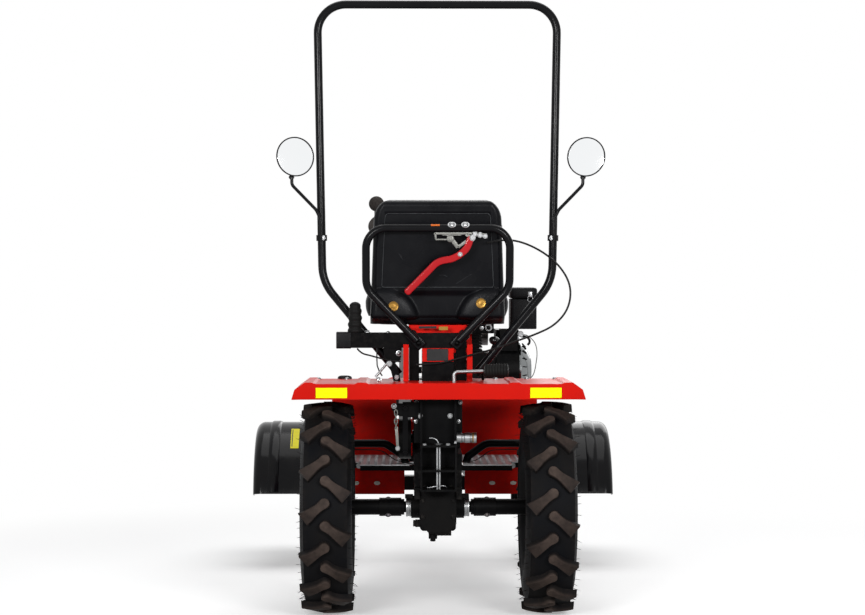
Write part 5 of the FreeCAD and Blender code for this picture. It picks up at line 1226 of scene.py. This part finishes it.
# Shift linkage on the left: a bracket, a short chain and a flat link
chainLook = {"x": -126, "y": -110, "tops": (622, 609, 596, 583), "drop": 8, "long": 9.5, "wide": 4.6, "wire": 0.0018,
             "bracket": [(-100, 603), (-100, 642), (-136, 642), (-138, 622), (-116, 603)]}
makePiece("shift_bracket", plateShape(chainLook["bracket"], -107, 5), "black_powder", bevel=0.001)


# Each link is an oval ring, turned a quarter against the one before
def makeChain(look):
    turn, still = np.arange(12) * math.pi / 6, np.zeros(12)
    side = look["wide"] * np.cos(turn)
    shapes = []
    for index, top in enumerate(look["tops"]):
        flat = index % 2 == 0
        x, y = (side, still) if flat else (still, side)
        path = fromRear(look["x"] + x, look["y"] + y, top - look["drop"] + look["long"] * np.sin(turn))
        shapes.append(sweep(circle(look["wire"], 8), path, (0, 1, 0) if flat else (1, 0, 0), True))
    makeSet("shift_chain", shapes, "grey_pressing", sharp=60)


makeChain(chainLook)
makePiece("shift_link", barShape((-125, -110, 573), (-120, -110, 500), 9, 4, 1, 1, (0, 1, 0)), "grey_pressing",
          sharp=40)
makeBolts("shift_bolts", [(-132, -107, 634, backAxis, 11, "dome"), (-121, -112, 508, backAxis, 10, "hex")])

# Axle: seal rings beside the case, its tabs, sump plate and plug
caseLook = {"seal": [(0, 27.7), (0, 28.6), (1.5, 29.4), (5, 29.4), (6.5, 28.3), (9.5, 28.3), (11, 29.4), (14.5, 29.4),
                     (16, 28.6), (16, 27.7)], "sealAt": (80, 0, 320),
            "tabs": [((-99, -22, 347), (-74, 12, 358)), ((74, -18, 346), (95, 10, 360)),
                     ((-29, -86, 247), (40, -20, 260)), ((-66, -80, 268), (-50, -52, 288))],
            "feet": [((-72, -108, 354), (-54, -62, 390)), ((54, -108, 354), (72, -62, 390))]}
x, y, z = caseLook["sealAt"]
makeSet("seal_rings", [turned(caseLook["seal"], (side * x, y, z), (side, 0, 0), 48, True) for side in (-1, 1)],
        "zinc_plate", sharp=30)
makeSet("case_tabs", [brick(*corners) for corners in caseLook["tabs"]], "cast_black", bevel=0.002)
makePiece("case_pan", barShape((0, -89, 282), (0, 60, 282), 108, 50, 11, 4), "cast_black", sharp=40)
makeSet("hitch_feet", [brick(*corners) for corners in caseLook["feet"]], "cast_black", bevel=0.002)
makeBolts("case_bolts", [(-66, -66, 278, (-1, 0, 0), 17, "hex"), (34, -80, 248, downAxis, 8, "hex"),
                         (14, -80, 248, downAxis, 8, "hex"), (-15, -60, 231, downAxis, 13, "hex")]
          + [(x, -95, z, backAxis, across, "hex")
             for z, reach, across in ((392, 40, 12), (300, 46, 11), (350, 46, 11)) for x in (-reach, reach)],
          "cast_black")
for side, word in sides:
    makeBolts(f"sleeve_bolts_{word}", [(side * 150, -16, 297, (0, -0.57, -0.82), 13, "dome"),
                                       (side * 150, 16, 343, (0, 0.57, 0.82), 13, "dome")], "hot_steel",
              f"rear_wheel_{word}")

boardLook = {"pitch": 24, "long": 9, "wide": 2.6, "high": 1.3, "x": (96, 330), "y": (262, 594), "top": 424,
             "sunk": 0.2, "draft": 0.8, "cutOut": (232, 352), "bolts": [(246, 345, 412)],
             "edge": ((236, 346, 405), (338, 372, 420.6))}


# Raised bars of the chequer plate: long flat diamonds, turned one way and then the other
def makeTread(look):
    outline = np.array([(-1, 0), (-0.35, -1), (0.35, -1), (1, 0), (0.35, 1), (-0.35, 1)])
    columns = np.arange(look["x"][0], look["x"][1], look["pitch"])
    rows = np.arange(look["y"][0], look["y"][1], look["pitch"])
    shapes = []
    for i, x in enumerate(columns):
        for j, y in enumerate(rows):
            if x > look["cutOut"][0] and y < look["cutOut"][1]:
                continue
            turn = math.radians(45 if (i + j) % 2 else -45)
            bar = outline * (look["long"], look["wide"])
            dx = bar[:, 0] * math.cos(turn) - bar[:, 1] * math.sin(turn)
            dy = bar[:, 0] * math.sin(turn) + bar[:, 1] * math.cos(turn)
            for side in (-1, 1):
                foot = fromRear(side * (x + dx), y + dy, np.full(6, look["top"] - look["sunk"]))
                top = fromRear(side * (x + dx * look["draft"]), y + dy * look["draft"],
                               np.full(6, look["top"] + look["high"]))
                shapes.append(gridShape(np.stack([foot, top])))
    makeSet("board_tread", shapes, "plate_metal", sharp=30)


# Places on the right, turned over for the left when side is -1
def onSide(side, places):
    return [(side * x, y, z) for x, y, z in places]


makeTread(boardLook)
makeSet("board_edges", [brick(*onSide(side, boardLook["edge"])) for side in (-1, 1)], "black_powder", bevel=0.0015)
makeBolts("board_bolts", [(*onSide(side, boardLook["bolts"])[0], backAxis, 12, "hex") for side in (-1, 1)])
plugLook = {"places": [(-261, 600.2, 330), (-191, 600.2, 330), (191, 600.2, 330), (261, 600.2, 330)], "oval": 0.6,
            "profile": [(0, 0.2), (0, 10.5), (1.4, 10), (2.4, 7), (2.6, 0.2)]}


# Oval plugs in the shield's slots: the radius follows an ellipse
def makePlugs(look):
    def edge(angle):
        return 1 / np.sqrt(np.cos(angle) ** 2 + (np.sin(angle) / look["oval"]) ** 2)
    plugs = [turned(look["profile"], at, backAxis, 28, edge=edge) for at in look["places"]]
    makeSet("shield_plugs", plugs, "pale_cap", sharp=40)


makePlugs(plugLook)
wellLine = [(258, 318, 466), (200, 312, 466), (172, 308, 462), (150, 306, 448), (128, 306, 434), (100, 308, 428),
            (84, 310, 427)]
makeSet("well_lines", [wireShape(onSide(side, wellLine), 1.6) for side in (-1, 1)], "cable_skin", sharp=60)

# Blank plates: one with a stripe on the left arch and one on the seat guard
bandPatch("arch_label", (-500, -471), (1200, 205), 283.6, (20.5, 43.6), "label_yellow")
bandPatch("arch_label_stripe", (-496, -493), (1200, 205), 284.0, (22, 42), "label_black")
bandPatch("guard_mark", (-21, 5), (-76.3, 1166), 12.1, (28, 62), "mark_orange", 0.4)
makeBolts("guard_bolts", [(x, -84, 1175, (0, -0.7, 0.7), 17, "dome") for x in (41.5, 82)])


trimLook = {"badges": [(-134, 930), (131, 939)],
            "badge": [(0, 0.0002), (0, 0.0152), (0.0016, 0.0152), (0.0022, 0.0138), (0.0015, 0.0125), (0.0024, 0.006),
                      (0.0026, 0.0002)],
            "beadSides": (992, 1205), "beadTop": 1212, "beadFoot": 986, "beadHalf": (176, 18), "bead": 0.0011,
            "scratches": [((-118, -112, -105), (1090, 1080, 1072)), ((5, 17, 29), (1024, 1025, 1020)),
                          ((56, 80, 102), (998, 1014, 1027)), ((-112, -108), (1086, 1074))]}


# A place on the shell's rear face and the direction that faces out of it: the cross product of two small steps
def onShell(x, z, lift=0.0):
    x, z = np.asarray(x, float), np.asarray(z, float)
    v = (z - shellLook["low"]) / (shellLook["top"] - shellLook["low"])
    u = x / (shellLook["halfLow"] + (shellLook["halfHigh"] - shellLook["halfLow"]) * v)
    across = seatBackPoint(u + 0.01, v, shellLook) - seatBackPoint(u - 0.01, v, shellLook)
    upward = seatBackPoint(u, v + 0.006, shellLook) - seatBackPoint(u, v - 0.006, shellLook)
    out = unit(np.cross(across, upward))
    return seatBackPoint(u, v, shellLook) + out * lift, out


# Round badges, a bead round the pressed panel whose light grey is a painted highlight along the panel's edge, and a
# few thin worn lines in the same grey
def makeShellTrim(look):
    badges = [lathe(look["badge"], *onShell(x, z, 0.0012), 36) for x, z in look["badges"]]
    makeSet("shell_badges", badges, "badge_amber", sharp=50)
    level = np.linspace(*look["beadSides"], 30)
    half, taper = look["beadHalf"]
    side = half - taper * (level - shellLook["low"]) / (shellLook["top"] - shellLook["low"])
    top = np.linspace(-side[-1] + 6, side[-1] - 6, 24)
    foot = np.linspace(side[0] - 5, -side[0] + 5, 30)
    x = np.concatenate([-side, top, side[::-1], foot])
    z = np.concatenate([level, np.full(24, look["beadTop"]), level[::-1], np.full(30, look["beadFoot"])])
    bead = sweep(circle(look["bead"], 6), onShell(x, z, 0.0022)[0], (0, 1, 0), True)
    # the bead's light grey is a painted highlight of the pressed panel's edge
    makePiece("shell_highlight_bead", bead, "scratch_and_highlight_grey", sharp=60)
    shapes = [sweep(circle(0.0004, 5), onShell(x, z, 0.0021)[0], (0, 1, 0)) for x, z in look["scratches"]]
    makeSet("shell_scratches", shapes, "scratch_and_highlight_grey", sharp=60)


makeShellTrim(trimLook)
makePiece("rest_slot", brick((-57, -60.8, 864), (-4, -59, 871)), "label_black", bevel=0.0005)
makePiece("rest_mark", brick((3, -60.7, 859), (30, -59, 870)), "badge_amber", bevel=0.0003)

leverLook = {"line": [(102, 1140), (96, 1130), (86, 1106), (66, 1087), (42, 1074), (12, 1068), (-8, 1058),
                      (-30, 1036), (-60, 1006), (-84, 982), (-97, 969)], "y": -83.8,
             "section": (0.021, 0.0105, 0.0042), "soft": 0.008}


# The lever is a flat bar with soft corners, drawn in at its ends by a quarter turn
def makeLever(look):
    path = bend([fromRear(x, look["y"], z) for x, z in look["line"]], 10)
    length = np.concatenate([[0], np.cumsum(np.linalg.norm(np.diff(path, axis=0), axis=1))])
    ends = np.clip(np.minimum(length, length[-1] - length) / look["soft"], 0, 1)
    size = np.clip(np.sqrt(1 - (1 - ends) ** 2), 0.12, 1)
    makePiece("hand_lever", sweep(roundedOutline(*look["section"]), path, (0, 1, 0), swell=size), "red_gloss",
              sharp=60, replaces=["brake_lever"])


makeLever(leverLook)
makeBolts("lever_bolts", [(66, -89, 1087, backAxis, 10, "hex"), (103, -88, 1136, backAxis, 13, "hex")])

# The lever's bracket is a stamped frame: bars round a long slot, and a leg down to the lever
bracketLook = {"y": -80.5, "thick": 3.5, "tab": ((14, -80, 1143), (70, -66, 1147)), "hubAt": (37, -78, 1134),
               "hub": [(0, 0.2), (0, 11), (5, 11), (7, 8), (7, 5), (4, 4.4), (4, 0.2)],
               "bars": [((-10, 1149.5), (110, 1149.5), 7), ((-9, 1152), (-6, 1131), 6),
                        ((-8, 1131.5), (36, 1131.5), 5),
                        ((31, 1146), (60, 1107), 12), ((60, 1108), (98, 1136), 9), ((84, 1148), (100, 1134), 10),
                        ((100, 1150), (143, 1148), 4)]}
makeBolts("bracket_bolts", [(110, -78.5, 1148, backAxis, 12, "hex"), (126, -78.5, 1145, backAxis, 12, "hex"),
                            (141, -78.5, 1142, backAxis, 11, "hex")])
makePiece("bracket_hub", turned(bracketLook["hub"], bracketLook["hubAt"], backAxis), "grey_pressing", sharp=40)
bars = [barShape((a[0], bracketLook["y"], a[1]), (b[0], bracketLook["y"], b[1]), wide, bracketLook["thick"], 1, 1,
                 (0, 1, 0)) for a, b, wide in bracketLook["bars"]]
makeSet("bracket_frame", bars, "grey_pressing", sharp=40, replaces=["brake_bracket"])
makePiece("bracket_tab", brick(*bracketLook["tab"]), "grey_pressing", bevel=0.0008)

# Gear knob: a flattened ball on a thin bent stem
knobLook = {"route": [(141, 78, 699), (141, 78, 724), (149, 80, 744), (164, 85, 785), (176, 88, 812)],
            "ball": [(-13.5, 0.2), (-13, 6), (-10.5, 12), (-5, 16.8), (0, 18.4), (5, 17), (9, 13.4), (12, 8),
                     (13.4, 0.2)]}
makePiece("gear_stem", wireShape(knobLook["route"], 4.4, 12), "black_powder", sharp=60, replaces=["gear_lever"])
makePiece("gear_knob", turned(knobLook["ball"], (177, 88, 822), (0.25, 0, 1), 36), "knob_gloss", sharp=70)

# Ribbed boot of the left hand control: a turned profile whose rings bulge more towards the foot
boot = [(0, 0.2), (0, 21), (2, 22.8), (8, 22.8), (12, 20.4), (15, 19.4), (18, 20.4), (23, 22.4), (28, 21.8),
        (32, 19.4), (35, 18.6), (38, 19.6), (43, 21.4), (48, 20.8), (52, 18.4), (55, 17.8), (58, 18.8), (63, 20.2),
        (69, 19.8), (73, 17.2), (76, 16.8), (80, 17.2), (85, 16.2), (89, 12.8), (92, 8), (93.4, 0.2)]
makePiece("hand_boot", turned(boot, (-250, 0, 850), upAxis, 40), "soft_rubber", sharp=70, replaces=["lever_boot"])

# Engine: starter dome with its slots, cleaner with lid and louvres, and small hardware
domeLook = {"at": (293, 905, 690),
            "profile": [(-4, 0.2), (-4, 98.5), (6, 98.5), (8, 97), (8.5, 93), (11, 91), (19, 84), (27, 74),
                        (33.5, 63), (38.5, 52), (39.8, 50), (39.8, 46), (43, 44), (45.5, 30), (47, 14), (47.4, 0.2)],
            "slots": 18, "from": (12.5, 90.5), "to": (25.5, 76), "slot": (0.0085, 0.003, 0.0013, 0.002)}


def makeDome(look):
    makePiece("starter_dome", turned(look["profile"], look["at"], (1, 0, 0), 72), "bright_cover", sharp=35,
              replaces=["recoil_cover"])
    centre = fromRear(*look["at"])
    shapes = []
    for index in range(look["slots"]):
        turn = (index + 0.5) * 2 * math.pi / look["slots"]
        way = np.array([0, math.cos(turn), math.sin(turn)])
        ends = [centre + np.array([along, 0, 0]) / 1000 + way * out / 1000
                for along, out in (look["from"], look["to"])]
        shapes.append(softBar(*ends, *look["slot"], up=np.cross(way, (1.0, 0, 0))))
    makeSet("starter_slots", shapes, "shroud_black", sharp=50)


makeDome(domeLook)
cleanerLook = {"middle": (305, 840), "foot": 835, "seam": 937, "top": 976, "gap": 1.5, "body": (90, 128, 12, 3),
               "lid": (93.5, 131.5, 14, 9), "louvres": range(846, 890, 8),
               "clip": [(15, -67, 946), (15, -68, 930), (29, -68, 930), (29, -67, 946)]}


def makeCleaner(look):
    x, y = look["middle"]
    seam = look["seam"]
    body = barShape((x, y, look["foot"]), (x, y, seam), *look["body"], (0, 1, 0))
    makePiece("cleaner_body", body, "moulded_black", sharp=50, replaces=["air_cleaner"])
    lid = barShape((x, y, seam + look["gap"]), (x, y, look["top"]), *look["lid"], (0, 1, 0))
    makePiece("cleaner_lid", lid, "moulded_black", sharp=50)
    ribs = [barShape((x + 6, y - 63.4, z), (x + 40, y - 63.4, z), 3, 3, 1, 1) for z in look["louvres"]]
    makeSet("cleaner_louvres", ribs, "moulded_black", sharp=50)
    clip = [barShape((x + 22, y - 67, 944), (x + 22, y - 67, 962), 14, 3, 1, 1, (0, 1, 0)),
            wireShape([(x + dx, y + dy, z) for dx, dy, z in look["clip"]], 1.2)]
    makeSet("cleaner_clip", clip, "zinc_plate", sharp=50)


makeCleaner(cleanerLook)
hookRoute = [(300, 858, 808), (311, 851, 807), (322, 850, 804), (329, 850, 796), (329, 850, 786), (323, 850, 778)]
makePiece("starter_hook", wireShape(hookRoute, 4, 12), "moulded_black", sharp=60)
throttleRoute = [(296, 862, 812), (318, 856, 812), (336, 852, 800), (349, 850, 783), (355, 850, 757), (353, 850, 722),
                 (340, 850, 672), (300, 860, 640)]
makePiece("throttle_line", wireShape(throttleRoute, 1.5), "grey_pressing", sharp=60)
makeBolts("engine_bolts", [(298, 846, 816, backAxis, 15, "hex"), (288, 830, 800, backAxis, 12, "dome"),
                           (160, 729, 840, backAxis, 10, "dome")]
          + [(x, y, 881, upAxis, 14, "hex") for y in (1050, 960) for x in (45, 125)])
switchLook = {"plate": ((118, 729, 822), (202, 733, 862)), "at": (184, 729, 842),
              "ring": [(0, 7), (0, 13), (4, 13), (6, 11.5), (6, 9.5), (3, 8.5), (3, 7)],
              "key": [(0, 0.2), (0, 7), (7, 7), (9, 5), (9.4, 0.2)]}
makePiece("switch_plate", brick(*switchLook["plate"]), "black_powder", bevel=0.002)
makePiece("switch_ring", turned(switchLook["ring"], switchLook["at"], backAxis, 32, True), "zinc_plate", sharp=40)
makePiece("switch_key", turned(switchLook["key"], switchLook["at"], backAxis, 24), "moulded_black", sharp=50)

tankCapLook = {"at": (80, 815, 957), "ribs": 24, "swing": 0.03,
               "profile": [(0, 0.2), (0, 31), (2, 32), (15, 31.4), (19, 29), (21, 24), (21.4, 12), (23, 9),
                           (23.2, 0.2)]}


# A cap with a scalloped skirt: its radius is multiplied by 1 + swing * cos(ribs * turn)
def makeTankCap(look):
    def edge(angle):
        return 1 + look["swing"] * np.cos(look["ribs"] * angle)
    makePiece("tank_cap", turned(look["profile"], look["at"], upAxis, 96, edge=edge), "moulded_black", sharp=50)


makeTankCap(tankCapLook)
mufflerLook = {"at": (1107, 815), "radius": 49, "starts": (8, 14), "end": 188, "turns": range(20, 250, 16),
               "bar": (5, 4, 1.5, 1)}


# Bars along the muffler, each square to its round side; every second one starts a little further out
def makeMufflerBars(look):
    y, z = look["at"]
    shapes = []
    for index, turn in enumerate(look["turns"]):
        out = np.array([0, -math.cos(math.radians(turn)), math.sin(math.radians(turn))])
        ends = [(x, y + look["radius"] * out[1], z + look["radius"] * out[2])
                for x in (look["starts"][index % 2], look["end"])]
        shapes.append(barShape(*ends, *look["bar"], out))
    makeSet("muffler_bars", shapes, "hot_steel", sharp=50)


makeMufflerBars(mufflerLook)

# Headlamps: bulged lenses in a bright ring
lampLook = {"at": (120, 1494, 545), "lens": [(-2, 0.2), (-2, 49), (1, 49), (3, 45), (5, 34), (6.4, 18), (6.8, 0.2)],
            "ring": [(-1, 48.5), (-1, 55.4), (2, 55), (3.4, 52), (2.4, 48.5)]}
for side, word in sides:
    at = onSide(side, [lampLook["at"]])[0]
    makePiece(f"lamp_lens_{word}", turned(lampLook["lens"], at, (0, 1, 0), 56), "lens_clear", sharp=60)
    makePiece(f"lamp_ring_{word}", turned(lampLook["ring"], at, (0, 1, 0), 56, True), "silver_cover", sharp=50)

rimLooks = {"rear": {"at": (332, 0, 320), "bolts": (5, 62, 20), "cap": 31, "out": 27,
                     "ring": [(2, 84), (6, 88), (9, 95), (9, 112), (6, 119), (2, 124)]},
            "front": {"at": (395, 1200, 205), "bolts": (4, 45, 15), "cap": 23, "out": 33,
                      "ring": [(2, 62), (5, 65), (6.5, 69), (6.5, 78), (5, 82), (2, 86)]}}


# Wheel trim: a pressed ring on the disc, the ring of bolts and a hub cap
def makeRimTrim(kind, side, word, look):
    x, y, z = look["at"]
    body = f"{kind}_wheel_{word}"
    at = (side * x, y, z)
    makePiece(f"{body}_ring", turned(look["ring"], at, (side, 0, 0), 72, True), "black_powder", body, sharp=25)
    count, radius, across = look["bolts"]
    rows = [(side * (x + 2.8), y + radius * math.sin(turn), z + radius * math.cos(turn), (side, 0, 0), across, "hex")
            for turn in np.arange(count) * 2 * math.pi / count]
    makeBolts(f"{body}_bolts", rows, body=body)
    cap, out = look["cap"], look["out"]
    profile = [(out, 0.2), (out, cap), (out + 4, cap + 1), (out + 9, cap - 2), (out + 13, cap * 0.6),
               (out + 14.5, 0.2)]
    makePiece(f"{body}_cap", turned(profile, at, (side, 0, 0), 48), "moulded_black", body, sharp=50)


for side, word in sides:
    for kind, look in rimLooks.items():
        makeRimTrim(kind, side, word, look)
print("small pieces made")

# Mirrors: a dished back, a thin rim and a slightly bulged glass, turned in towards the driver
mirrorLook = {"x": (-432, 452), "z": 1383,
              "y": (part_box("mirror_heads")[0][1] - rearY) * 1000 + 8, "turn": 22, "lean": 0.06, "radius": 59,
              "stalk": (444, 36, 1322),
              "back": [(-24, 0.2), (-23.5, 12), (-20, 30), (-13, 46), (-4, 57.4), (1, 60.4), (4.5, 60), (5.2, 58.4),
                       (4, 56.8), (1, 56.5), (1, 0.2)], "rim": 2.6, "bulge": 1.2,
              "ball": [(-8, 0.2), (-6.5, 5), (-3, 8), (0, 8.8), (3, 8), (6.5, 5), (8, 0.2)]}


def makeMirror(side, word, look):
    turn = math.radians(look["turn"])
    out = (-side * math.sin(turn), -math.cos(turn), look["lean"])
    at = (look["x"][side > 0], look["y"], look["z"])
    makePiece(f"mirror_back_{word}", turned(look["back"], at, out, 72), "moulded_black", sharp=60,
              replaces=["mirror_heads"] if side < 0 else ())
    radius = look["radius"] - look["rim"]
    glass = [(0.5, radius)] + [(2.2 + look["bulge"] * (1 - s * s), radius * s) for s in np.linspace(1, 0.004, 12)]
    makePiece(f"mirror_glass_{word}", turned(glass, at, out, 72), "mirror_silver", sharp=60)
    ball = turned(look["ball"], onSide(side, [look["stalk"]])[0], upAxis, 24)
    makePiece(f"mirror_ball_{word}", ball, "moulded_black", sharp=70)


for side, word in sides:
    makeMirror(side, word, mirrorLook)
makeBolts("stalk_bolts", [(side * 348, 17, 1137, backAxis, 11, "hex") for side in (-1, 1)])
print("mirrors made")
